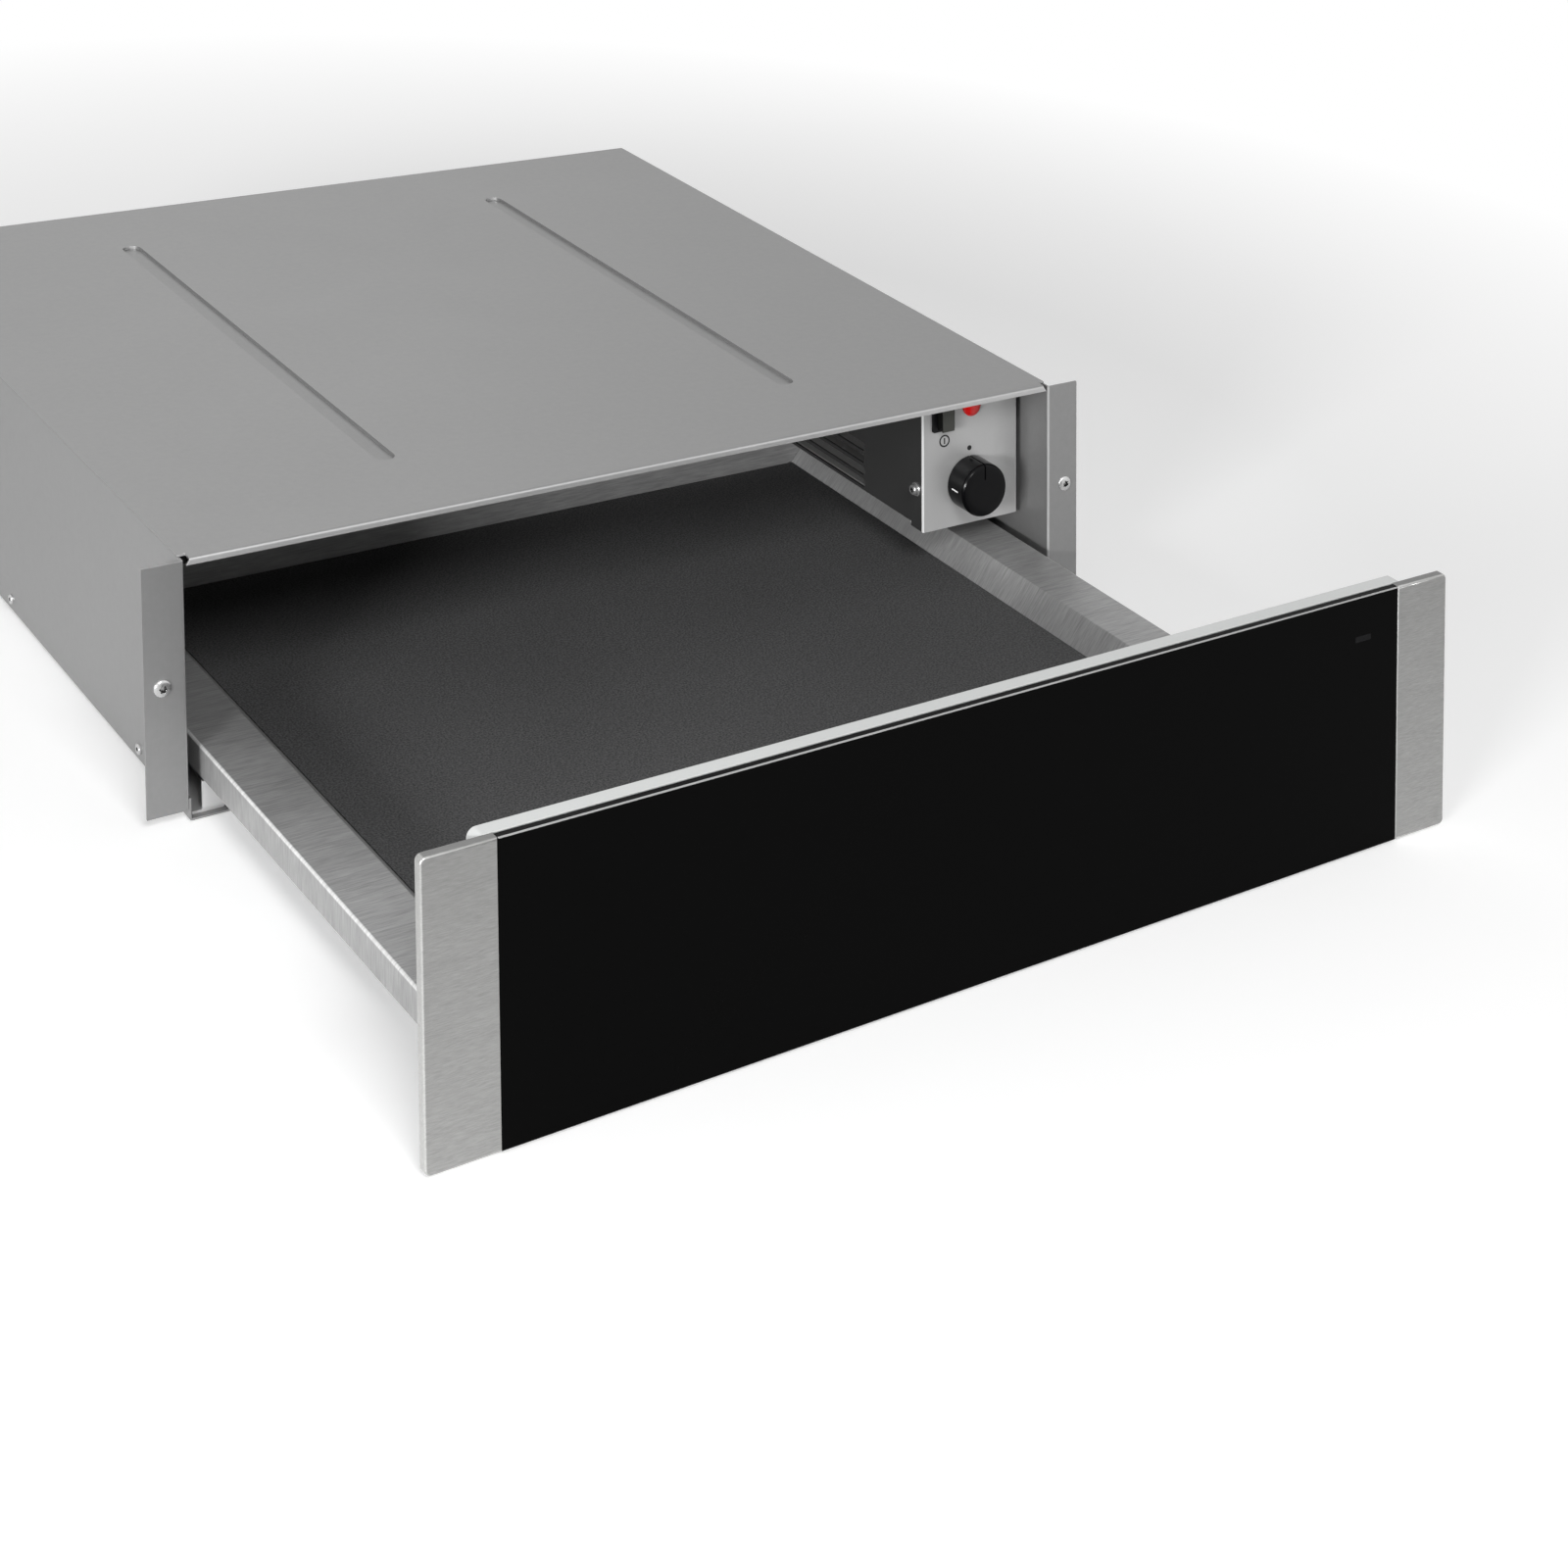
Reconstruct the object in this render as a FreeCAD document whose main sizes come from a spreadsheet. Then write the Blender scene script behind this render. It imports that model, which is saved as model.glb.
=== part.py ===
import FreeCAD, Part
import math
import operator
import os

import Sketcher

# Built-in warming drawer with a glass front, standing open.
# The origin is the centre of the housing's underside: +X right, +Y back, +Z up, in millimetres.
# The tray runs on two three-part ball slides, and a heated air duct with the controls hangs on the right.

DRIVING = {
    # Front: glass between two metal end strips, on a folded carrier
    "front_width": 596,
    "front_height": 140,
    "front_lift": 1,
    "front_gap": 3.2,
    "strip_width": 35.6,
    "strip_depth": 5.1,
    "strip_wall": 1.2,
    "strip_corner": 3,
    "strip_clearance": 1.8,
    "glass_depth": 4,
    "glass_joint": 0.1,
    "glass_arris": 0.6,
    "bracket_thickness": 1.1,
    "carrier_width": 541,
    "carrier_depth": 8.3,
    "carrier_corner": 4.5,
    "carrier_rim": 14,
    "seal_half_width": 249.6,
    "seal_bar": 6.4,
    "window_x": 237.2,
    "window_z": 118.2,
    "window_width": 10.8,
    "window_height": 3,
    # How far the drawer stands open
    "opening": 303,
    # Housing of folded sheet
    "body_width": 549.8,
    "body_depth": 532,
    "body_height": 138.3,
    "wall": 1.2,
    "post_reach": 20.9,
    "post_bottom": 6.2,
    "post_notch": 5,
    "post_hole_x": 286.35,
    "post_hole_z": 73.4,
    "post_hole_radius": 2.25,
    "bend_radius": 1.6,
    "base_flange": 12,
    "base_lip_half_width": 230,
    "base_lip": 3,
    "vent_low": 62,
    "vent_high": 84,
    "vent_pitch": 30,
    "vent_radius": 2,
    "front_lip": 3.8,
    "front_lip_inset": 4.3,
    "front_lip_mitre": 1.8,
    "front_lip_step": 6,
    "side_lip": 13,
    "bead_x": 130,
    "bead_half_width": 7,
    "bead_depth": 2,
    "bead_half_length": 190,
    # Tray of one folded sheet
    "tray_half_width": 265,
    "tray_rim_width": 31.7,
    "tray_rim_z": 35.2,
    "tray_floor_z": 19,
    "tray_sheet": 1,
    "tray_slope_angle": 50.3,
    "tray_skirt": 16.5,
    "tray_front_top": 95,
    "tray_rear_y": -54.6,
    "tray_tail": 12,
    "mat_thickness": 2,
    "play": 0.3,
    # Ball slides, measured outwards from the middle plane
    "slide_length": 450,
    "slide_setback": 10.4,
    "slide_outer_back": 253.5,
    "slide_outer_tip": 241.4,
    "slide_outer_sheet": 1.2,
    "slide_outer_low": 4.5,
    "slide_outer_high": 31.5,
    "slide_middle_back": 251.3,
    "slide_middle_tip": 241.6,
    "slide_middle_sheet": 1,
    "slide_inner_back": 240.8,
    "slide_inner_tip": 249,
    "ball_track": 3,
    "ball_radius": 1.48,
    "cage_length": 230,
    "cage_sheet": 0.5,
    "cage_margin": 0.25,
    "cage_window": 3.2,
    "outer_ball_x": 247,
    "inner_ball_x": 245.5,
    "rail_bracket_sheet": 1.5,
    "rail_bracket_foot": 16,
    "rail_bracket_top": 31,
    "rail_bracket_tab": 10.5,
    "runner_low": 9,
    "runner_reach": 10.2,
    # Push latch under the tray
    "latch_y": 150,
    "latch_z": 9.2,
    "latch_half_width": 10,
    "latch_length": 52,
    "latch_head": 6.3,
    "plunger_radius": 4,
    "plunger_reach": 10,
    "plunger_length": 45,
    "striker_gap": 0.5,
    # Control box and air duct
    "box_left": 196.8,
    "box_right": 268.9,
    "box_bottom": 49.4,
    "box_setback": 24.4,
    "cover_left": 198,
    "cover_bottom": 50.85,
    "cover_tab": 13,
    "cover_tab_drop": 2.25,
    "fascia_fold": 3.4,
    "fascia_return": 26,
    "slot_front_y": -176.6,
    "slot_length": 150,
    "slot_radius": 2.75,
    "slot_low_z": 55.9,
    "slot_pitch": 7.77,
    "knob_x": 231.2,
    "knob_z": 75.9,
    "knob_radius": 16.5,
    "knob_height": 17,
    "shaft_radius": 3,
    "shaft_flat": 2,
    "knob_skirt": 2.2,
    "knob_groove": 1.2,
    "thermostat_half_width": 18,
    "thermostat_back": 28,
    "bush_radius": 4.6,
    "tag_length": 7,
    "tag_thickness": 0.8,
    "switch_x": 211.5,
    "switch_z": 122.4,
    "switch_width": 16.3,
    "switch_height": 22,
    "switch_bezel": 1.5,
    "switch_case_depth": 20,
    "rocker_radius": 9,
    "rocker_width": 8.8,
    "rocker_reach": 7.3,
    "rocker_cap_back": 4.3,
    "rocker_cap_half_height": 10.6,
    "rocker_tilt": -10,
    "lamp_x": 233,
    "lamp_z": 123.8,
    "lamp_radius": 6.6,
    "lamp_dome": 3.8,
    "lamp_holder_back": 22,
    "baffle_y": -186,
    "heater_x": 232,
    "heater_z": 79,
    "heater_pitch": 32,
    "heater_radius": 3.2,
    "fan_x": 233,
    "fan_y": -22,
    "fan_z": 94,
    "fan_size": 60,
    "fan_depth": 25,
    "fan_bore": 28.5,
    "fan_hub": 11.5,
    "fan_shaft_radius": 2,
    "blade_tip": 27.4,
    "blade_pitch": 38,
    "blade_half_chord": 7,
    "blade_thickness": 1,
    "gland_x": 233,
    "gland_z": 95,
    "gland_neck": 9,
    "gland_bore": 4,
    "gland_head": 5,
    "gland_nut": 4,
    "terminal_half_width": 20,
    "terminal_half_depth": 11,
    "terminal_height": 17,
    "terminal_pitch": 12,
    "terminal_pocket": 2.7,
    "loom_x": 258,
    "loom_z": 57.1,
    "loom_radius": 2.6,
}

BALLS_PER_ROW = 4
FAN_BLADES = 7
SLOT_ROWS = 4
VENTS = 4
POLES = 3
LEFT = -1
RIGHT = 1

doc = FreeCAD.newDocument("warming_drawer")
nodes = []


class Size:
    """A length in millimetres together with the formula that it comes from."""

    def __init__(self, value, formula):
        self.value = value
        self.formula = formula

    def joined(self, other, sign, work):
        """Work out a sum or product, as a number and as a formula."""
        other = as_size(other)
        return Size(work(self.value, other.value), f"({self.formula} {sign} {other.formula})")

    def __add__(self, other):
        return self.joined(other, "+", operator.add)

    def __sub__(self, other):
        return self.joined(other, "-", operator.sub)

    def __mul__(self, other):
        return self.joined(other, "*", operator.mul)

    def __truediv__(self, other):
        return self.joined(other, "/", operator.truediv)

    def __radd__(self, other):
        return as_size(other) + self

    def __rsub__(self, other):
        return as_size(other) - self

    def __rmul__(self, other):
        return as_size(other) * self

    def __rtruediv__(self, other):
        return as_size(other) / self

    def __neg__(self):
        return self * -1


def as_size(number):
    """Give a plain number the form of a Size."""
    if isinstance(number, Size):
        return number
    return Size(float(number), f"({float(number)})")


def tangent(angle):
    """Tangent of an angle in degrees."""
    return Size(math.tan(math.radians(angle.value)), f"tan({angle.formula})")


def sine(angle):
    """Sine of an angle in degrees."""
    return Size(math.sin(math.radians(angle.value)), f"sin({angle.formula})")


def cosine(angle):
    """Cosine of an angle in degrees."""
    return Size(math.cos(math.radians(angle.value)), f"cos({angle.formula})")


def ordered(first, second):
    """Sort two sizes by value, the lower one first."""
    return sorted((as_size(first), as_size(second)), key=lambda size: size.value)


class Sheet:
    """The table of driving dimensions, whose rows are read as attributes."""

    def __init__(self, rows):
        table = doc.addObject("Spreadsheet::Sheet", "Sizes")
        for row, (alias, value) in enumerate(rows.items(), 1):
            table.set(f"A{row}", alias.replace("_", " "))
            table.set(f"B{row}", str(value))
            table.setAlias(f"B{row}", alias)
            setattr(self, alias, Size(float(value), f"Sizes.{alias}"))


def bind(thing, prop, size):
    """Tie one property of an object to its formula."""
    thing.setExpression(prop, as_size(size).formula)


# Outlines that a sketch can hold


def pin_down(sketch, line, vertex, point):
    """Hold one point of a sketch at its distances from the sketch's origin."""
    for kind, size in zip(("DistanceX", "DistanceY"), point):
        size = as_size(size)
        number = sketch.addConstraint(Sketcher.Constraint(kind, -1, 1, line, vertex, size.value))
        bind(sketch, f"Constraints[{number}]", size)


def hold_radius(sketch, curve, radius):
    """Give a circle or an arc of a sketch its radius."""
    radius = as_size(radius)
    number = sketch.addConstraint(Sketcher.Constraint("Radius", curve, radius.value))
    bind(sketch, f"Constraints[{number}]", radius)


def vector(point):
    """The place of a sketch point, in numbers."""
    return FreeCAD.Vector(as_size(point[0]).value, as_size(point[1]).value, 0)


class Polygon:
    """A closed outline of straight lines."""

    def __init__(self, points):
        self.points = points

    def draw(self, sketch):
        first = sketch.GeometryCount
        count = len(self.points)
        places = [vector(point) for point in self.points]
        for start, end in zip(places, places[1:] + places[:1]):
            sketch.addGeometry(Part.LineSegment(start, end), False)
        for i in range(count):
            following = first + (i + 1) % count
            sketch.addConstraint(Sketcher.Constraint("Coincident", first + i, 2, following, 1))
            pin_down(sketch, first + i, 1, self.points[i])


class Rectangle(Polygon):
    """A rectangle between two values each way, given in any order."""

    def __init__(self, first_x, second_x, first_y, second_y):
        low_x, high_x = ordered(first_x, second_x)
        low_y, high_y = ordered(first_y, second_y)
        super().__init__([(low_x, low_y), (high_x, low_y), (high_x, high_y), (low_x, high_y)])


class RegularPolygon(Polygon):
    """A regular outline about a centre, given by its corner count and the distance to its flats."""

    def __init__(self, centre, flat_distance, corners):
        reach = flat_distance / math.cos(math.pi / corners)
        turns = [math.pi * (2 * number + 1) / corners for number in range(corners)]
        super().__init__([
            (centre[0] + reach * math.cos(turn), centre[1] + reach * math.sin(turn)) for turn in turns
        ])


class Disc:
    """A full circle."""

    def __init__(self, centre, radius):
        self.centre = centre
        self.radius = radius

    def draw(self, sketch):
        up = FreeCAD.Vector(0, 0, 1)
        circle = Part.Circle(vector(self.centre), up, as_size(self.radius).value)
        number = sketch.addGeometry(circle, False)
        pin_down(sketch, number, 3, self.centre)
        hold_radius(sketch, number, self.radius)


class Slot:
    """A slot with round ends between two centres, lying along the sketch's first axis or its second."""

    def __init__(self, start, end, radius):
        self.start = start
        self.end = end
        self.radius = radius

    def draw(self, sketch):
        start, end = vector(self.start), vector(self.end)
        radius = as_size(self.radius).value
        along = (end - start).normalize()
        side = FreeCAD.Vector(-along.y, along.x, 0) * radius
        first = sketch.GeometryCount
        sketch.addGeometry(Part.LineSegment(start - side, end - side), False)
        sketch.addGeometry(Part.Arc(end - side, end + along * radius, end + side), False)
        sketch.addGeometry(Part.LineSegment(end + side, start + side), False)
        sketch.addGeometry(Part.Arc(start + side, start - along * radius, start - side), False)
        for i in range(4):
            following = first + (i + 1) % 4
            sketch.addConstraint(Sketcher.Constraint("Tangent", first + i, 2, following, 1))
        pin_down(sketch, first + 1, 3, self.end)
        pin_down(sketch, first + 3, 3, self.start)
        hold_radius(sketch, first + 1, self.radius)


# Bodies and their features

ORIGIN_PLANES = {"XY": ("XY_Plane", 1), "XZ": ("XZ_Plane", -1), "YZ": ("YZ_Plane", 1)}


def new_body(name):
    """Start a sub-part."""
    body = doc.addObject("PartDesign::Body", name)
    body.Label = name
    nodes.append(body)
    return body


def place(body, x, y, z):
    """Put a sub-part, drawn about its own centre, where it belongs."""
    for axis, size in zip("xyz", (x, y, z)):
        bind(body, f"Placement.Base.{axis}", size)


def sketch_on(body, plane, level, outlines):
    """Draw outlines on a plane square to one axis, at a level along it."""
    role, sense = ORIGIN_PLANES[plane]
    sketch = body.newObject("Sketcher::SketchObject", f"{body.Name}_outline")
    sketch.AttachmentSupport = [(next(f for f in body.Origin.OriginFeatures if f.Role == role), "")]
    sketch.MapMode = "FlatFace"
    bind(sketch, "AttachmentOffset.Base.z", sense * as_size(level))
    for outline in outlines:
        outline.draw(sketch)
    return sketch


def pad(body, plane, ends, *outlines):
    """Add the stretch of an outline between two levels."""
    low, high = ordered(*ends)
    sketch = sketch_on(body, plane, high if plane == "XZ" else low, outlines)
    feature = body.newObject("PartDesign::Pad", f"{body.Name}_pad")
    feature.Profile = sketch
    bind(feature, "Length", high - low)
    doc.recompute()
    return feature


def pocket(body, plane, ends, *outlines):
    """Cut the stretch of an outline between two levels, and see that it cuts."""
    low, high = ordered(*ends)
    before = body.Shape.Volume
    sketch = sketch_on(body, plane, low if plane == "XZ" else high, outlines)
    feature = body.newObject("PartDesign::Pocket", f"{body.Name}_pocket")
    feature.Profile = sketch
    bind(feature, "Length", high - low)
    doc.recompute()
    if not body.Shape.Volume < before - 1e-3:
        raise RuntimeError(f"a pocket of {body.Label} cuts nothing")
    return feature


def revolve(body, outline, axis):
    """Turn an outline of the XY plane a full turn about the sketch's own axis."""
    feature = body.newObject("PartDesign::Revolution", f"{body.Name}_turned")
    feature.Profile = sketch_on(body, "XY", 0, [outline])
    feature.ReferenceAxis = (feature.Profile[0], [axis])
    feature.Angle = 360
    doc.recompute()
    return feature


def edges_through(shape, points):
    """Names of the edges that pass through the given places."""
    marks = [Part.Vertex(FreeCAD.Vector(*[as_size(value).value for value in point])) for point in points]
    names = []
    for number, edge in enumerate(shape.Edges, 1):
        if any(edge.distToShape(mark)[0] < 0.02 for mark in marks):
            names.append(f"Edge{number}")
    return names


def soften(body, kind, size, *points):
    """Round or bevel the edges that pass through the given places."""
    tip = body.Tip
    names = edges_through(tip.Shape, points)
    if len(names) < len(points):
        raise RuntimeError(f"an edge of {body.Label} is missing")
    feature = body.newObject(f"PartDesign::{kind}", f"{body.Name}_edge")
    feature.Base = (tip, names)
    bind(feature, "Radius" if kind == "Fillet" else "Size", size)
    doc.recompute()
    return feature


def group(name, solids):
    """Keep identical small pieces together as one sub-part of several solids."""
    feature = doc.addObject("Part::Feature", name)
    feature.Label = name
    feature.Shape = Part.makeCompound(solids)
    nodes.append(feature)
    return feature


s = Sheet(DRIVING)
doc.recompute()

# Main planes, worked out from the driving dimensions
front_y = -s.body_depth / 2
back_y = s.body_depth / 2
carrier_back = front_y - s.front_gap - s.opening
carrier_front = carrier_back - s.carrier_depth
face_y = carrier_front - s.strip_depth
front_low = s.front_lift
front_high = s.front_lift + s.front_height
front_half = s.front_width / 2
strip_edge = front_half - s.strip_width
glass_half = strip_edge - s.glass_joint
glass_back = face_y + s.glass_depth
outer_x = s.body_width / 2
wall_x = outer_x - s.wall
deck_low = s.body_height - s.wall
fascia_y = front_y + s.box_setback
duct_top = deck_low - s.wall
rim_in = s.tray_half_width - s.tray_rim_width
slope = tangent(s.tray_slope_angle)
floor_half = rim_in - (s.tray_rim_z - s.tray_floor_z) / slope
bend_shift = s.tray_sheet * tangent(s.tray_slope_angle / 2)
tray_end = s.tray_rear_y + s.tray_tail
mat_top = s.tray_floor_z + s.mat_thickness


# Housing


def base_plate():
    """Floor sheet: side flanges, a low front lip and two pressed beads."""
    body = new_body("base_plate")
    inner = wall_x - s.wall
    rear = back_y - s.wall
    front = front_y + s.wall / 2
    pad(body, "XZ", (front, rear), Polygon([
        (-wall_x, 0), (wall_x, 0), (wall_x, s.base_flange), (inner, s.base_flange), (inner, s.wall),
        (-inner, s.wall), (-inner, s.base_flange), (-wall_x, s.base_flange),
    ]))
    pad(body, "XZ", (front, front + s.wall), Rectangle(
        -s.base_lip_half_width, s.base_lip_half_width, s.wall, s.wall + s.base_lip
    ))
    for side in (LEFT, RIGHT):
        ends = [(side * s.bead_x, -s.bead_half_length), (side * s.bead_x, s.bead_half_length)]
        pad(body, "XY", (s.wall, s.wall + s.bead_depth), Slot(*ends, s.bead_half_width))
        pocket(body, "XY", (0, s.bead_depth), Slot(*ends, s.bead_half_width - s.wall))
    soften(body, "Fillet", s.bend_radius, (-wall_x, 0, 0), (wall_x, 0, 0))
    return body


def side_panel(name, side):
    """Side wall with the mounting flange at its front and a lip under the top."""
    body = new_body(name)
    outer, inner = side * outer_x, side * wall_x
    reach = side * (outer_x + s.post_reach)
    pad(body, "XY", (s.post_bottom, deck_low), Polygon([
        (reach, front_y), (inner, front_y), (inner, back_y), (outer, back_y),
        (outer, front_y + s.wall), (reach, front_y + s.wall),
    ]))
    lip_front = fascia_y + s.fascia_return + 1.6
    lip = Rectangle(inner, inner - side * s.side_lip, lip_front, back_y - 15)
    pad(body, "XY", (duct_top, deck_low), lip)
    notch = Rectangle(front_y + s.wall, front_y + 30, s.post_bottom - 1, s.post_bottom + s.post_notch)
    pocket(body, "YZ", (outer, inner), notch)
    hole_x = side * s.post_hole_x
    pocket(body, "XZ", (front_y, front_y + s.wall), Disc((hole_x, s.post_hole_z), s.post_hole_radius))
    soften(body, "Chamfer", 0.5, (hole_x + s.post_hole_radius, front_y, s.post_hole_z))
    soften(body, "Fillet", s.bend_radius, (inner, front_y, s.post_hole_z))
    return body


def rear_panel():
    """Back sheet with a flange under the top, air slots behind the duct and the cable inlet."""
    body = new_body("rear_panel")
    inside = back_y - s.wall
    pad(body, "XZ", (inside, back_y), Rectangle(-wall_x, wall_x, 0, deck_low))
    lip = wall_x - s.side_lip - 1
    pad(body, "XY", (duct_top, deck_low), Rectangle(-lip, lip, inside - s.base_flange, inside))
    middles = [s.vent_pitch * (number - (VENTS - 1) / 2) for number in range(VENTS)]
    pocket(body, "XZ", (inside, back_y), *[
        Slot((x, s.vent_low), (x, s.vent_high), s.vent_radius) for x in middles
    ])
    pocket(body, "XZ", (inside, back_y), Disc((s.gland_x, s.gland_z), s.gland_neck + 0.1))
    return body


def top_plate():
    """Top sheet with a folded front lip and two beads pressed down."""
    body = new_body("top_plate")
    lip_top = outer_x - s.front_lip_inset
    lip_foot = lip_top + s.front_lip_mitre
    step = front_y + s.front_lip_step
    pad(body, "XY", (deck_low, s.body_height), Polygon([
        (-lip_top, front_y), (lip_top, front_y), (lip_top, step), (outer_x, step),
        (outer_x, back_y), (-outer_x, back_y), (-outer_x, step), (-lip_top, step),
    ]))
    lip_low = s.body_height - s.front_lip
    pad(body, "XZ", (front_y, front_y + s.wall), Polygon([
        (-lip_foot, lip_low), (lip_foot, lip_low), (lip_top, deck_low), (-lip_top, deck_low),
    ]))
    for side in (LEFT, RIGHT):
        ends = [(side * s.bead_x, -s.bead_half_length), (side * s.bead_x, s.bead_half_length)]
        pad(body, "XY", (deck_low - s.bead_depth, deck_low), Slot(*ends, s.bead_half_width))
        top = (s.body_height - s.bead_depth, s.body_height)
        pocket(body, "XY", top, Slot(*ends, s.bead_half_width - s.wall))
    soften(body, "Fillet", s.bend_radius, (0, front_y, s.body_height))
    return body


def rail_bracket(name, side):
    """Angle on the base that carries a slide, with a turned-out tab at its front end."""
    body = new_body(name)
    face = side * s.slide_outer_back
    leg = side * (s.slide_outer_back + s.rail_bracket_sheet)
    foot = leg + side * s.rail_bracket_foot
    foot_top = s.wall + s.rail_bracket_sheet
    front = front_y + 4
    pad(body, "XZ", (front, front + s.slide_length + 12), Polygon([
        (foot, s.wall), (face, s.wall), (face, s.rail_bracket_top), (leg, s.rail_bracket_top),
        (leg, foot_top), (foot, foot_top),
    ]))
    tab_top = s.tray_rim_z - s.tray_skirt - 1.2
    tab = Rectangle(leg, leg + side * s.rail_bracket_tab, foot_top, tab_top)
    pad(body, "XZ", (front, front + s.rail_bracket_sheet), tab)
    soften(body, "Fillet", s.rail_bracket_sheet, (face, front + 100, s.wall))
    return body


# Ball slides


def channel(name, side, back, tip, sheet, levels, start, length):
    """A C-shaped channel: the web at back, its two flanges reaching to tip."""
    body = new_body(name)
    low, high = levels
    towards = 1 if tip.value > back.value else -1
    web = back + towards * sheet
    pad(body, "XZ", (start, start + length), Polygon([
        (side * back, low), (side * tip, low), (side * tip, low + sheet), (side * web, low + sheet),
        (side * web, high - sheet), (side * tip, high - sheet), (side * tip, high), (side * back, high),
    ]))
    return body


def rail(name, side, back, tip, sheet, levels, start):
    """One rail of a slide: a channel with its two outer bends rounded."""
    body = channel(name, side, back, tip, sheet, levels, start, s.slide_length)
    soften(body, "Fillet", sheet, *[(side * back, start + 10, level) for level in levels])
    return body


slide_start = front_y + s.slide_setback
middle_start = slide_start - s.opening / 2
inner_start = slide_start - s.opening
cage_rest = (s.slide_length - s.cage_length) / 2
outer_cage_start = slide_start + cage_rest - s.opening / 4
inner_cage_start = slide_start + cage_rest - s.opening * 3 / 4
outer_levels = (s.slide_outer_low, s.slide_outer_high)
outer_track = (s.slide_outer_low + s.slide_outer_sheet, s.slide_outer_high - s.slide_outer_sheet)
middle_levels = (outer_track[0] + s.ball_track, outer_track[1] - s.ball_track)
inner_track = (middle_levels[0] + s.slide_middle_sheet, middle_levels[1] - s.slide_middle_sheet)
inner_levels = (inner_track[0] + s.ball_track, inner_track[1] - s.ball_track)


def ball_places(start):
    """Distances of the balls of one row along the slide."""
    pitch = s.cage_length / BALLS_PER_ROW
    return [start + pitch * (number + 0.5) for number in range(BALLS_PER_ROW)]


def ball_cage(name, side, back, ball_x, tracks, start):
    """Thin strip bent to a U that spaces the balls between two rails."""
    gap = (s.ball_track - s.cage_sheet) / 2
    levels = (tracks[0] + gap, tracks[1] - gap)
    tip = ball_x - 3
    body = channel(name, side, back, tip, s.cage_sheet, levels, start, s.cage_length)
    half = s.cage_window / 2
    pocket(body, "XY", levels, *[
        Rectangle(side * ball_x - half, side * ball_x + half, y - half, y + half) for y in ball_places(start)
    ])
    return body


def faceted_ball(radius):
    """A ball of 18 flats: what three eight-sided bars, square to each other, have in common."""
    reach = radius / math.cos(math.pi / 8)
    turns = [math.pi * (2 * number + 1) / 8 for number in range(9)]
    outline = [FreeCAD.Vector(reach * math.cos(turn), reach * math.sin(turn), -reach) for turn in turns]
    bar = Part.Face(Part.makePolygon(outline)).extrude(FreeCAD.Vector(0, 0, 2 * reach))
    centre = FreeCAD.Vector(0, 0, 0)
    across, along = bar.copy(), bar.copy()
    across.rotate(centre, FreeCAD.Vector(0, 1, 0), 90)
    along.rotate(centre, FreeCAD.Vector(1, 0, 0), 90)
    return bar.common(across).common(along)


def balls(name, side, ball_x, tracks, start):
    """The two rows of balls of one cage."""
    rows = [track + sense * s.ball_track / 2 for track, sense in zip(tracks, (1, -1))]
    ball = faceted_ball(s.ball_radius.value)
    return group(name, [
        ball.translated(FreeCAD.Vector((side * ball_x).value, y.value, level.value))
        for level in rows for y in ball_places(start)
    ])


def slide(word, side):
    """All the pieces of one three-part slide and its brackets."""
    rail_bracket(f"rail_bracket_{word}", side)
    sheet = s.slide_outer_sheet
    back, tip = s.slide_outer_back, s.slide_outer_tip
    rail(f"slide_outer_{word}", side, back, tip, sheet, outer_levels, slide_start)
    back, tip = s.slide_middle_back, s.slide_middle_tip
    rail(f"slide_middle_{word}", side, back, tip, s.slide_middle_sheet, middle_levels, middle_start)
    back, tip = s.slide_inner_back, s.slide_inner_tip
    rail(f"slide_inner_{word}", side, back, tip, sheet, inner_levels, inner_start)
    outer_back = s.slide_outer_back - s.slide_outer_sheet - s.cage_margin
    inner_back = s.slide_middle_back - s.slide_middle_sheet - s.cage_margin - 0.1
    ball_cage(f"ball_cage_outer_{word}", side, outer_back, s.outer_ball_x, outer_track, outer_cage_start)
    balls(f"balls_outer_{word}", side, s.outer_ball_x, outer_track, outer_cage_start)
    ball_cage(f"ball_cage_inner_{word}", side, inner_back, s.inner_ball_x, inner_track, inner_cage_start)
    balls(f"balls_inner_{word}", side, s.inner_ball_x, inner_track, inner_cage_start)
    runner_bracket(f"runner_bracket_{word}", side)


def runner_bracket(name, side):
    """Angle under the tray's rim that the inner rail is fixed to."""
    body = new_body(name)
    thickness = s.rail_bracket_sheet
    under_rim = s.tray_rim_z - s.tray_sheet
    face = side * s.slide_inner_back
    leg = side * (s.slide_inner_back - thickness)
    reach = face + side * s.runner_reach
    pad(body, "XZ", (inner_start, inner_start + s.slide_length), Polygon([
        (reach, under_rim), (leg, under_rim), (leg, s.runner_low), (face, s.runner_low),
        (face, under_rim - thickness), (reach, under_rim - thickness),
    ]))
    return body


# Tray


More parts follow.
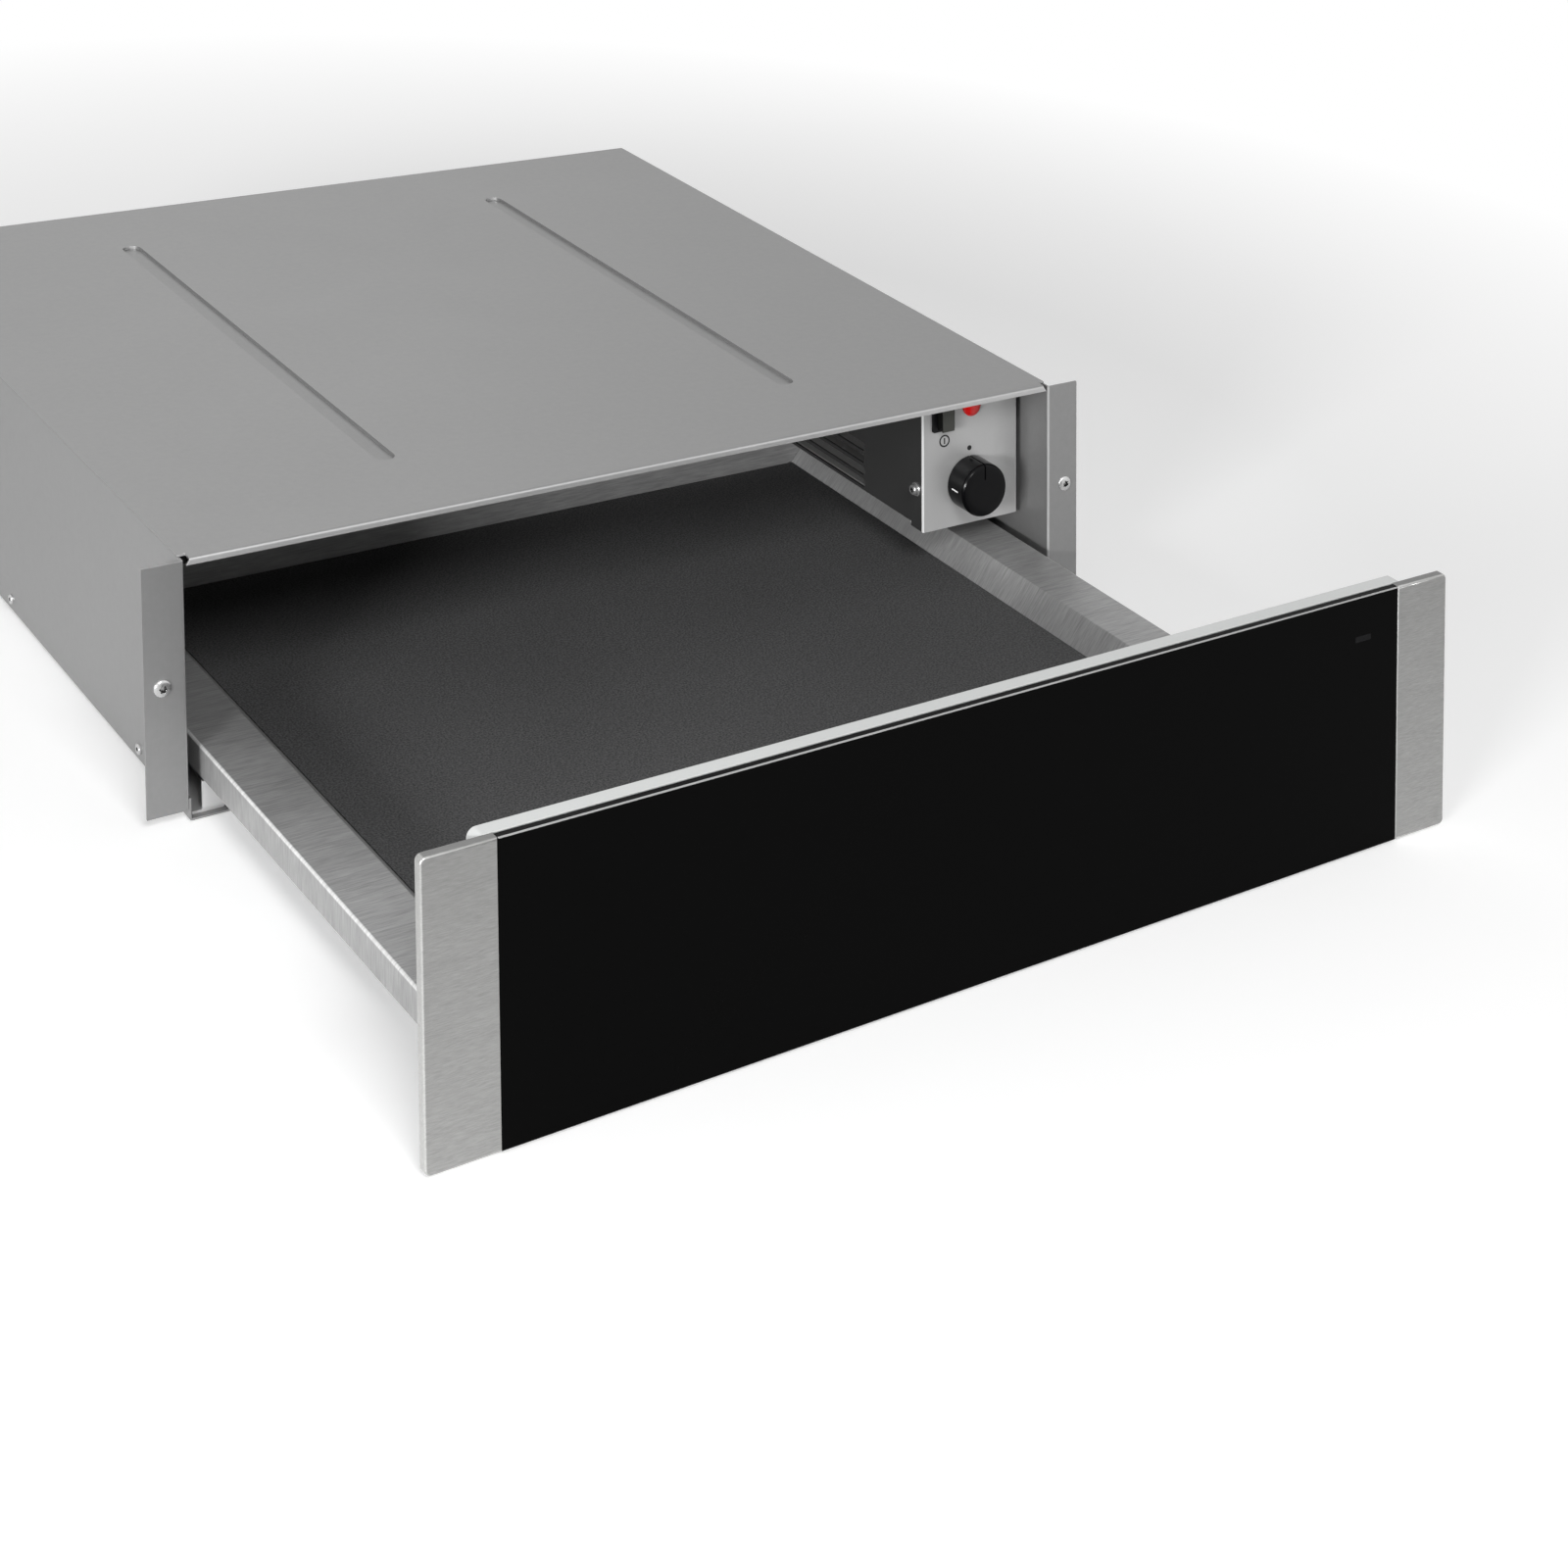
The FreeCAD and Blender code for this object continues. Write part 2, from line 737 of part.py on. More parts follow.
def tray():
    """Tray of one sheet: floor, sloping sides, wide rims and hanging skirts, and a high front wall."""
    body = new_body("tray")
    thick = s.tray_sheet
    skirt_low = s.tray_rim_z - s.tray_skirt
    upper = [
        (s.tray_half_width, skirt_low), (s.tray_half_width, s.tray_rim_z),
        (rim_in, s.tray_rim_z), (floor_half, s.tray_floor_z),
    ]
    under = [
        (s.tray_half_width - thick, skirt_low), (s.tray_half_width - thick, s.tray_rim_z - thick),
        (rim_in + bend_shift, s.tray_rim_z - thick), (floor_half + bend_shift, s.tray_floor_z - thick),
    ]
    upper_left = [(-x, z) for x, z in reversed(upper)]
    under_left = [(-x, z) for x, z in under]
    pad(body, "XZ", (carrier_back, tray_end), Polygon(upper + upper_left + under_left + under[::-1]))
    wall_outline = Polygon([
        (-floor_half, s.tray_floor_z), (floor_half, s.tray_floor_z), (rim_in, s.tray_rim_z),
        (rim_in, s.tray_front_top), (-rim_in, s.tray_front_top), (-rim_in, s.tray_rim_z),
    ])
    pad(body, "XZ", (carrier_back, carrier_back + thick), wall_outline)
    y = carrier_back + 200
    soften(body, "Fillet", 1.8, *[(side * s.tray_half_width, y, s.tray_rim_z) for side in (LEFT, RIGHT)])
    soften(body, "Fillet", 1.2, *[(side * rim_in, y, s.tray_rim_z) for side in (LEFT, RIGHT)])
    return body


def tray_rear_wall():
    """Upright sheet that closes the tray at the back, with a foot and a folded top edge."""
    body = new_body("tray_rear_wall")
    thick = s.tray_sheet
    low, high = s.tray_floor_z, s.tray_rim_z
    front, back = s.tray_rear_y, s.tray_rear_y + thick
    relief = 2.2
    foot = floor_half - s.play
    head = rim_in - s.play
    notch = foot + relief / slope - relief
    pad(body, "XZ", (front, back), Polygon([
        (-notch, low), (notch, low), (notch, low + relief), (foot + relief / slope, low + relief),
        (head, high), (-head, high), (-foot - relief / slope, low + relief), (-notch, low + relief),
    ]))
    top = head - thick / slope
    pad(body, "XY", (high - thick, high), Rectangle(-top, top, back, tray_end))
    hem_low = low + 6
    hem = head - (high - hem_low) / slope
    pad(body, "XZ", (tray_end - thick, tray_end), Polygon([
        (-hem, hem_low), (hem, hem_low), (top, high - thick), (-top, high - thick),
    ]))
    pad(body, "XY", (low, low + thick), Rectangle(-foot + 6, foot - 6, back, tray_end - 3))
    soften(body, "Fillet", 0.8, (0, front, high))
    return body


def anti_slip_mat():
    """Mat that fills the tray's floor, with edges that follow the sloping sides."""
    body = new_body("anti_slip_mat")
    foot = floor_half - s.play
    head = foot + s.mat_thickness / slope
    front = carrier_back + s.tray_sheet + s.play
    pad(body, "XZ", (front, s.tray_rear_y - s.play), Polygon([
        (-foot, s.tray_floor_z), (foot, s.tray_floor_z), (head, mat_top), (-head, mat_top),
    ]))
    return body


def latch_striker():
    """Hook under the tray that meets the latch's plunger when the drawer is shut."""
    body = new_body("latch_striker")
    front = s.latch_y - s.plunger_reach - s.striker_gap - s.opening - 1.5
    under = s.tray_floor_z - s.tray_sheet
    pad(body, "XZ", (front, front + 1.5), Rectangle(-12, 12, 5.5, under))
    pad(body, "XY", (under - 1.5, under), Rectangle(-12, 12, front + 1.5, front + 16))
    soften(body, "Fillet", 1.4, (0, front, under))
    return body


# Front


def front_glass():
    """Glass plate with a bevelled front edge."""
    body = new_body("front_glass")
    pad(body, "XZ", (face_y, glass_back), Rectangle(-glass_half, glass_half, front_low, front_high))
    middle = (front_low + front_high) / 2
    long_edges = [(0, face_y, level) for level in (front_low, front_high)]
    short_edges = [(side * glass_half, face_y, middle) for side in (LEFT, RIGHT)]
    soften(body, "Chamfer", s.glass_arris, *long_edges, *short_edges)
    return body


def glass_seal():
    """Bonding frame between the glass and the carrier."""
    body = new_body("glass_seal")
    outer = s.seal_half_width
    inner = outer - s.seal_bar
    pad(
        body, "XZ", (glass_back, carrier_front),
        Rectangle(-outer, outer, front_low + 2.5, front_high - 2.5),
        Rectangle(-inner, inner, front_low + 2.5 + s.seal_bar, front_high - 2.5 - s.seal_bar),
    )
    return body


def end_strip(name, side):
    """Folded metal strip at one end of the front, open at its back and towards the glass."""
    body = new_body(name)
    inner, outer = side * strip_edge, side * front_half
    pad(body, "XZ", (face_y, carrier_front), Rectangle(inner, outer, front_low, front_high))
    corner_y = face_y + 2.5
    soften(body, "Fillet", s.strip_corner, (outer, corner_y, front_low), (outer, corner_y, front_high))
    wall = s.strip_wall
    inside = Rectangle(inner, outer - side * wall, front_low + wall, front_high - wall)
    pocket(body, "XZ", (face_y + wall, carrier_front), inside)
    return body


def strip_bracket(name, side):
    """Flat lug that joins an end strip to the carrier."""
    body = new_body(name)
    inner = side * (s.seal_half_width + 0.4)
    outer = side * (front_half - s.strip_wall - 0.2)
    low = front_low + s.strip_wall + s.strip_clearance
    high = front_high - s.strip_wall - s.strip_clearance
    pad(body, "XZ", (carrier_front - s.bracket_thickness, carrier_front), Rectangle(inner, outer, low, high))
    hole_x = side * (s.carrier_width / 2 + 12)
    pocket(
        body, "XZ", (carrier_front - s.bracket_thickness, carrier_front),
        *[Rectangle(hole_x - 3, hole_x + 3, middle - 10, middle + 10) for middle in (42, 100)],
    )
    return body


def front_carrier():
    """Folded sheet pan that carries the glass and the strips, with a rim turned in at its front."""
    body = new_body("front_carrier")
    half = s.carrier_width / 2
    wall = s.strip_wall
    pad(body, "XZ", (carrier_front, carrier_back), Rectangle(-half, half, front_low, front_high))
    inner = half - wall
    low, high = front_low + wall, front_high - wall
    pocket(body, "XZ", (carrier_front, carrier_back - wall), Rectangle(-inner, inner, low, high))
    y = (carrier_front + carrier_back) / 2
    soften(body, "Fillet", s.carrier_corner - wall, *[
        (side * inner, y, z) for side in (LEFT, RIGHT) for z in (low, high)
    ])
    soften(body, "Fillet", s.carrier_corner, *[
        (side * half, y, z) for side in (LEFT, RIGHT) for z in (front_low, front_high)
    ])
    rim = s.carrier_rim
    pad(
        body, "XZ", (carrier_front, carrier_front + wall),
        Rectangle(-inner - 0.6, inner + 0.6, low + 4, high - 4),
        Rectangle(-inner + rim, inner - rim, low + rim, high - rim),
    )
    window = Rectangle(
        s.window_x - s.window_width / 2 - 0.2, s.window_x + s.window_width / 2 + 0.2,
        s.window_z - s.window_height / 2 - 0.2, s.window_z + s.window_height / 2 + 0.2,
    )
    pocket(body, "XZ", (carrier_back - wall, carrier_back), window)
    return body


def light_guide():
    """Clear rod that brings the signal lamp's light to the window in the glass."""
    body = new_body("light_guide")
    pad(body, "XZ", (glass_back, carrier_back + 1), Rectangle(
        s.window_x - s.window_width / 2, s.window_x + s.window_width / 2,
        s.window_z - s.window_height / 2, s.window_z + s.window_height / 2,
    ))
    return body


# Control box and air duct


def control_fascia():
    """Folded control panel: a hem and a screw flange at its left, a wide bend at its right."""
    body = new_body("control_fascia")
    wall = s.wall
    left, right = s.box_left, s.box_right
    back = fascia_y + wall
    end = fascia_y + s.fascia_return
    flange = s.cover_left + wall
    pad(body, "XY", (s.box_bottom, deck_low), Polygon([
        (left, fascia_y), (right, fascia_y), (right, end), (right - wall, end),
        (right - wall, back), (flange + wall, back), (flange + wall, fascia_y + 17), (flange, fascia_y + 17),
        (flange, back), (s.cover_left, back), (s.cover_left, fascia_y + 1.7), (left, fascia_y + 1.7),
    ]))
    pad(body, "XY", (duct_top, deck_low), Rectangle(flange + wall, right - wall, back, back + 12))
    half_width, half_height = s.switch_width / 2 - 1.2, s.switch_height / 2 - 1
    pocket(
        body, "XZ", (fascia_y, back),
        Rectangle(
            s.switch_x - half_width, s.switch_x + half_width,
            s.switch_z - half_height, s.switch_z + half_height,
        ),
        Disc((s.lamp_x, s.lamp_z), s.lamp_radius - 0.4),
        Disc((s.knob_x, s.knob_z), s.bush_radius + 0.6),
    )
    soften(body, "Fillet", s.fascia_fold, (right, fascia_y, s.knob_z))
    soften(body, "Fillet", s.fascia_fold - wall, (right - wall, back, s.knob_z))
    soften(body, "Fillet", 1.2, (left, fascia_y, s.knob_z))
    return body


def control_cover():
    """Dark sheet angle that closes the duct towards the tray, with air slots."""
    body = new_body("control_cover")
    wall = s.wall
    left = s.cover_left
    front = fascia_y + 1.7
    tab_end = front + s.cover_tab
    end = back_y - s.wall
    tab_low = s.cover_bottom - s.cover_tab_drop
    pad(body, "YZ", (left, left + wall), Polygon([
        (front, tab_low), (tab_end, tab_low),
        (tab_end, s.cover_bottom), (end, s.cover_bottom), (end, duct_top), (end - s.base_flange, duct_top),
        (end - s.base_flange, deck_low), (front, deck_low),
    ]))
    bottom = (s.cover_bottom, s.cover_bottom + wall)
    pad(body, "XY", bottom, Rectangle(left + wall, s.box_right - 2.4, fascia_y + 18, end))
    levels = [s.slot_low_z + row * s.slot_pitch for row in range(SLOT_ROWS)]
    first, last = s.slot_front_y + s.slot_radius, s.slot_front_y + s.slot_length
    pocket(body, "YZ", (left, left + wall), *[Slot((first, z), (last, z), s.slot_radius) for z in levels])
    soften(body, "Fillet", 1, (left, 0, s.cover_bottom))
    return body


duct_left = s.cover_left + 2.2
duct_floor = s.cover_bottom + 2 * s.wall


def duct_channel():
    """Bright sheet channel inside the cover: floor, right wall and top of the duct."""
    body = new_body("duct_channel")
    wall = s.wall
    right = s.box_right
    low = s.cover_bottom + wall
    pad(body, "XZ", (fascia_y + 28, back_y - wall), Polygon([
        (duct_left, low), (right, low), (right, duct_top),
        (duct_left, duct_top), (duct_left, duct_top - wall), (right - wall, duct_top - wall),
        (right - wall, duct_floor), (duct_left, duct_floor),
    ]))
    return body


def partition(name, level, *holes):
    """Upright sheet across the duct, with a foot, and holes for what passes it."""
    body = new_body(name)
    right = s.box_right - s.wall
    pad(body, "XZ", (level, level + s.wall), Rectangle(duct_left, right, duct_floor, duct_top - s.wall))
    foot = Rectangle(duct_left, right, level + s.wall, level + 9)
    pad(body, "XY", (duct_floor, duct_floor + s.wall), foot)
    loom = RegularPolygon((s.loom_x, s.loom_z), s.loom_radius + 0.4, 8)
    pocket(body, "XZ", (level, level + s.wall), loom, *holes)
    return body


heater_levels = (s.heater_z, s.heater_z + s.heater_pitch)


def duct_baffle():
    """Sheet that keeps the warm air away from the controls."""
    passes = [RegularPolygon((s.heater_x, level), s.heater_radius, 8) for level in heater_levels]
    return partition("duct_baffle", s.baffle_y, *passes)


def fan_plate():
    """Sheet that the fan is fixed to."""
    return partition("fan_plate", s.fan_y - s.wall, RegularPolygon((s.fan_x, s.fan_z), s.fan_bore, 8))


def pipe(body, start, radius, x, runs, arcs):
    """Sweep an eight-sided section along lines and half or quarter turns in an upright plane."""
    spine = body.newObject("Sketcher::SketchObject", f"{body.Name}_route")
    plane = next(f for f in body.Origin.OriginFeatures if f.Role == "YZ_Plane")
    spine.AttachmentSupport = [(plane, "")]
    spine.MapMode = "FlatFace"
    bind(spine, "AttachmentOffset.Base.z", x)
    for number, (run, arc) in enumerate(zip(runs, arcs + [None])):
        line = spine.addGeometry(Part.LineSegment(vector(run[0]), vector(run[1])), False)
        pin_down(spine, line, 1, run[0])
        pin_down(spine, line, 2, run[1])
        if arc is None:
            continue
        through, centre = arc
        onward = vector(runs[number + 1][0])
        bend = spine.addGeometry(Part.Arc(vector(run[1]), vector(through), onward), False)
        pin_down(spine, bend, 3, centre)
    profile = sketch_on(body, "XZ", start[0], [RegularPolygon((x, start[1]), radius, 8)])
    doc.recompute()
    feature = body.newObject("PartDesign::AdditivePipe", f"{body.Name}_pipe")
    feature.Profile = profile
    feature.Spine = spine
    doc.recompute()
    return feature


def heating_element():
    """Heating rod bent to a long hairpin, with both ends through the baffle."""
    body = new_body("heating_element")
    outside, far = s.baffle_y - 10, s.fan_y - 32
    low, high = heater_levels
    bend = s.heater_pitch / 2
    runs = [((outside, low), (far, low)), ((far, high), (outside, high))]
    arcs = [((far + bend, low + bend), (far, low + bend))]
    pipe(body, runs[0][0], s.heater_radius, s.heater_x, runs, arcs)
    return body


def wiring_loom():
    """Sleeved wires along the duct's floor, turning up beside the thermostat."""
    body = new_body("wiring_loom")
    bend = 15
    front = fascia_y + 36
    runs = [
        ((185, s.loom_z), (front + bend, s.loom_z)),
        ((front, s.loom_z + bend), (front, s.loom_z + 45)),
    ]
    diagonal = bend * (1 - math.sqrt(0.5))
    arcs = [((front + diagonal, s.loom_z + diagonal), (front + bend, s.loom_z + bend))]
    pipe(body, runs[0][0], s.loom_radius, s.loom_x, runs, arcs)
    return body


def thermal_cutout():
    """Disc cut-out on the duct's right wall, with its two tags."""
    body = new_body("thermal_cutout")
    pad(body, "YZ", (-9, 0), RegularPolygon((0, 0), 8, 12))
    pad(body, "XZ", (-3, 3), Rectangle(-16, -9, -5, -4.2), Rectangle(-16, -9, 4.2, 5))
    place(body, s.box_right - s.wall, s.baffle_y + 20, 112)
    return body


# Fan


def fan_frame():
    """Square fan frame with a round bore and a bearing hub on crossed bars."""
    body = new_body("fan_frame")
    half = s.fan_size / 2
    back = s.fan_y + s.fan_depth
    hub = (s.fan_x, s.fan_z)
    square = Rectangle(s.fan_x - half, s.fan_x + half, s.fan_z - half, s.fan_z + half)
    pad(body, "XZ", (s.fan_y, back), square, RegularPolygon(hub, s.fan_bore, 24))
    bars = (back - 3, back)
    bore = s.fan_bore + 0.8
    pad(body, "XZ", bars, Rectangle(s.fan_x - bore, s.fan_x + bore, s.fan_z - 2, s.fan_z + 2))
    pad(body, "XZ", bars, Rectangle(s.fan_x - 2, s.fan_x + 2, s.fan_z - bore, s.fan_z + bore))
    pad(body, "XZ", bars, RegularPolygon(hub, s.fan_hub, 24))
    pocket(body, "XZ", bars, Disc(hub, s.fan_shaft_radius + 0.1))
    return body


def fan_rotor():
    """Rotor with a round hub, a short shaft and seven pitched blades."""
    body = new_body("fan_rotor")
    hub, shaft = s.fan_hub, s.fan_shaft_radius
    pad(body, "XZ", (-8, 8), RegularPolygon((0, 0), hub, 24))
    pad(body, "XZ", (8, 14.5), Disc((0, 0), shaft))
    chord = (s.blade_half_chord * sine(s.blade_pitch), s.blade_half_chord * cosine(s.blade_pitch))
    half = (s.blade_thickness / 2 * cosine(s.blade_pitch), s.blade_thickness / -2 * sine(s.blade_pitch))
    blade = pad(body, "YZ", (hub - 0.8, s.blade_tip), Polygon([
        (chord[0] + half[0], chord[1] + half[1]), (chord[0] - half[0], chord[1] - half[1]),
        (-chord[0] - half[0], -chord[1] - half[1]), (-chord[0] + half[0], -chord[1] + half[1]),
    ]))
    ring = body.newObject("PartDesign::PolarPattern", "fan_blades")
    ring.Originals = [blade]
    ring.Axis = (next(f for f in body.Origin.OriginFeatures if f.Role == "Y_Axis"), [""])
    ring.Angle = 360
    ring.Occurrences = FAN_BLADES
    body.Tip = ring
    doc.recompute()
    place(body, s.fan_x, s.fan_y + 10, s.fan_z)
    return body


# Controls


def thermostat_body():
    """Rotary thermostat behind the panel, with its bush through it and three tags at its back."""
    body = new_body("thermostat_body")
    half, back = s.thermostat_half_width, s.thermostat_back
    pad(body, "XZ", (s.wall, back), Rectangle(-half, half, -half, half))
    pad(body, "XZ", (-1.6, s.wall), Disc((0, 0), s.bush_radius))
    pocket(body, "XZ", (-1.6, 10), Disc((0, 0), s.shaft_radius + 0.1))
    tag = s.tag_thickness / 2
    pad(body, "XZ", (back, back + s.tag_length), *[
        Rectangle(x - tag, x + tag, -4, 2.3) for x in (-10, 0, 10)
    ])
    place(body, s.knob_x, fascia_y, s.knob_z)
    return body


def thermostat_shaft():
    """Shaft that carries the knob, with a flat along its front end."""
    body = new_body("thermostat_shaft")
    pad(body, "XZ", (-13, 8), Disc((0, 0), s.shaft_radius))
    pocket(body, "XZ", (-13, -3.5), Rectangle(-4, 4, s.shaft_flat, 4))
    place(body, s.knob_x, fascia_y, s.knob_z)
    return body


def knob():
    """Knob with a recess in its back, a bevelled face and an index groove along face and side."""
    body = new_body("knob")
    radius = s.knob_radius
    face = -s.knob_height
    inside = radius - s.knob_skirt
    bore = s.shaft_radius + 0.05
    revolve(body, Polygon([
        (0, face), (radius - 1.2, face), (radius, face + 1.2), (radius, -0.5), (inside, -0.5), (inside, -9),
        (bore, -9), (bore, -13.2), (0, -13.2),
    ]), "V_Axis")
    groove = s.knob_groove / 2
    pocket(body, "XZ", (face, face + 0.5), Rectangle(-groove, groove, 7, radius - 1.4))
    pocket(body, "XY", (radius - 0.9, radius + 1), Rectangle(-groove, groove, face, -7))
    place(body, s.knob_x, fascia_y, s.knob_z)
    return body


def switch_frame():
    """Case of the rocker switch, with a bezel in front of the panel and two tags behind."""
    body = new_body("switch_frame")
    x, z = s.switch_x, s.switch_z
    half_width, half_height = s.switch_width / 2, s.switch_height / 2
    front = fascia_y - s.switch_bezel
    back = fascia_y + s.switch_case_depth
    bezel = Rectangle(x - half_width, x + half_width, z - half_height, z + half_height)
    pad(body, "XZ", (front, fascia_y), bezel)
    case_width, case_height = half_width - 1.3, half_height - 1.1
    case = Rectangle(x - case_width, x + case_width, z - case_height, z + case_height)
    pad(body, "XZ", (fascia_y, back), case)
    hollow_width, hollow_height = s.rocker_width / 2 + 0.3, s.rocker_radius + 0.25
    hollow = Rectangle(x - hollow_width, x + hollow_width, z - hollow_height, z + hollow_height)
    pocket(body, "XZ", (front, back - 6), hollow)
    tag = s.tag_thickness / 2
    pad(body, "XZ", (back, back + s.tag_length), *[
        Rectangle(x - 2.4, x + 2.4, z + level - tag, z + level + tag) for level in (-4, 4)
    ])
    middle = (front + fascia_y) / 2
    soften(body, "Fillet", 1.2, *[
        (x + i * half_width, middle, z + j * half_height) for i in (-1, 1) for j in (-1, 1)
    ])
    return body


def switch_rocker():
    """Rocker with a roofed cap, tilted so that the cap's lower half stands parallel to the panel."""
    body = new_body("switch_rocker")
    half = s.rocker_width / 2
    ends = (-half, half)
    radius = s.rocker_radius
    clear = radius + 2
    cap, cap_back = s.rocker_cap_half_height, -s.rocker_cap_back
    peak = -s.rocker_reach
    eaves = peak - cap * tangent(s.rocker_tilt)
    pad(body, "YZ", ends, Disc((0, 0), radius))
    pocket(body, "YZ", ends, Rectangle(-clear, cap_back, -clear, clear))
    pocket(body, "YZ", ends, Rectangle(3.5, clear, -clear, clear))
    pad(body, "YZ", ends, Polygon([
        (cap_back, -cap), (cap_back, cap), (eaves, cap), (peak, 0), (eaves, -cap),
    ]))
    turn = FreeCAD.Rotation(FreeCAD.Vector(1, 0, 0), 1)
    body.Placement = FreeCAD.Placement(FreeCAD.Vector(0, 0, 0), turn)
    bind(body, "Placement.Rotation.Angle", s.rocker_tilt)
    place(body, s.switch_x, fascia_y + 0.6, s.switch_z)
    return body


def lamp_lens():
    """Domed lens of the signal lamp, with a neck through the panel."""
    body = new_body("lamp_lens")
    radius = s.lamp_radius
    neck = radius - 0.7
    revolve(body, Polygon([
        (0, -s.lamp_dome), (radius - 2, -s.lamp_dome), (radius, -1.4),
        (radius, 0), (neck, 0), (neck, 8), (0, 8),
    ]), "V_Axis")
    place(body, s.lamp_x, fascia_y, s.lamp_z)
    return body


def lamp_body():
    """Lamp holder behind the panel that takes the lens's neck, with two tags at its back."""
    body = new_body("lamp_body")
    neck = s.lamp_radius - 0.5
    half = neck + 1.5
    back = s.lamp_holder_back
    pad(body, "XZ", (s.wall, back), Rectangle(-half, half, -half, half))
    pocket(body, "XZ", (s.wall, 8.5), RegularPolygon((0, 0), neck, 8))
    tag = s.tag_thickness / 2
    pad(body, "XZ", (back, back + s.tag_length), *[
        Rectangle(x - tag, x + tag, -2.4, 2.4) for x in (-3.6, 3.6)
    ])
    place(body, s.lamp_x, fascia_y, s.lamp_z)
    return body


# Mains inlet


def terminal_block():
    """Three-pole terminal block on the duct's floor."""
    body = new_body("terminal_block")
    wide, deep, high = s.terminal_half_width, s.terminal_half_depth, s.terminal_height
    half = s.terminal_pocket
    pad(body, "XY", (0, high), Rectangle(-wide, wide, -deep, deep))
    poles = [s.terminal_pitch * (number - (POLES - 1) / 2) for number in range(POLES)]
    pocket(body, "XY", (high - 7, high), *[Rectangle(x - half, x + half, -half, half) for x in poles])
    for ends in ((-deep, -deep + 6), (deep - 6, deep)):
        pocket(body, "XZ", ends, *[Rectangle(x - half, x + half, 3, 8) for x in poles])
    place(body, s.gland_x - 5, 200, duct_floor)
    return body


def cable_gland():
    """Inlet bush in the rear panel, with its nut inside and an open bore for the mains lead."""
    body = new_body("cable_gland")
    neck = s.gland_neck
    wall = s.wall
    inner_end = -wall - s.gland_nut
    pad(body, "XZ", (0, s.gland_head), RegularPolygon((0, 0), neck + 2, 6))
    pad(body, "XZ", (-wall, 0), Disc((0, 0), neck))
    pad(body, "XZ", (inner_end, -wall), RegularPolygon((0, 0), neck + 3, 6))
    pocket(body, "XZ", (inner_end, s.gland_head), Disc((0, 0), s.gland_bore))
    place(body, s.gland_x, back_y, s.gland_z)
    return body


# Latch


def latch_body():
    """Case of the push latch on the base, with a foot plate and the plunger's bore."""
    body = new_body("latch_body")
    low, high = s.wall, s.latch_z + s.latch_head
    start, end = s.latch_y, s.latch_y + s.latch_length
    half = s.latch_half_width
    pad(body, "XY", (low, low + 1.6), Rectangle(-half - 16, half + 16, start + 6, end - 6))
    pad(body, "XY", (low, high), Rectangle(-half, half, start, end))
    pocket(body, "XZ", (start, end - 10), Disc((0, s.latch_z), s.plunger_radius + 0.1))
    soften(body, "Chamfer", 1.5, *[(side * half, (start + end) / 2, high) for side in (LEFT, RIGHT)])
    return body


def latch_plunger():
    """Sprung plunger that the striker presses in."""
    body = new_body("latch_plunger")
    start = s.latch_y - s.plunger_reach
    pad(body, "XZ", (start, start + s.plunger_length), Disc((0, s.latch_z), s.plunger_radius))
    return body


def build():
    """Make every sub-part."""
    base_plate()
    side_panel("side_panel_left", LEFT)
    side_panel("side_panel_right", RIGHT)
    rear_panel()
    top_plate()
    slide("left", LEFT)
    slide("right", RIGHT)
    tray()
    tray_rear_wall()
    anti_slip_mat()
    latch_striker()
    front_glass()
    glass_seal()
    end_strip("end_strip_left", LEFT)
    end_strip("end_strip_right", RIGHT)
    strip_bracket("strip_bracket_left", LEFT)
    strip_bracket("strip_bracket_right", RIGHT)
    front_carrier()
    light_guide()
    control_fascia()
    control_cover()
    duct_channel()
    duct_baffle()
    fan_plate()
    heating_element()
    wiring_loom()
    thermal_cutout()
    fan_frame()
    fan_rotor()
    thermostat_body()
    thermostat_shaft()
    knob()
    switch_frame()
    switch_rocker()
    lamp_lens()
    lamp_body()
    terminal_block()
    cable_gland()
    latch_body()
    latch_plunger()


def check_and_write():
    """See that everything is sound, then write one file for each sub-part."""
    doc.recompute()
    for thing in doc.Objects:
        if "Invalid" in thing.State or "Error" in thing.State:
            raise RuntimeError(f"{thing.Label} failed: {thing.State}")
    for node in nodes:
        if node.Shape.isNull() or not node.Shape.isValid():
            raise RuntimeError(f"{node.Label} has no sound shape")
        if node.Shape.Volume <= 0 or not node.Shape.Solids:
            raise RuntimeError(f"{node.Label} is empty")
    os.makedirs("parts", exist_ok=True)
    for node in nodes:
        node.Shape.exportStep(f"parts/{node.Label}.step")
    print(f"{len(nodes)} sub-parts written")


build()
check_and_write()
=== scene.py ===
"""Looks of a built-in warming drawer that stands open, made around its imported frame.

Everything is in metres: +X right, +Y back, +Z up, origin at the centre of the housing's underside.
"""

import logging
import math
from dataclasses import dataclass, field
from enum import Enum

import bmesh
import bpy
from mathutils import Matrix, Vector


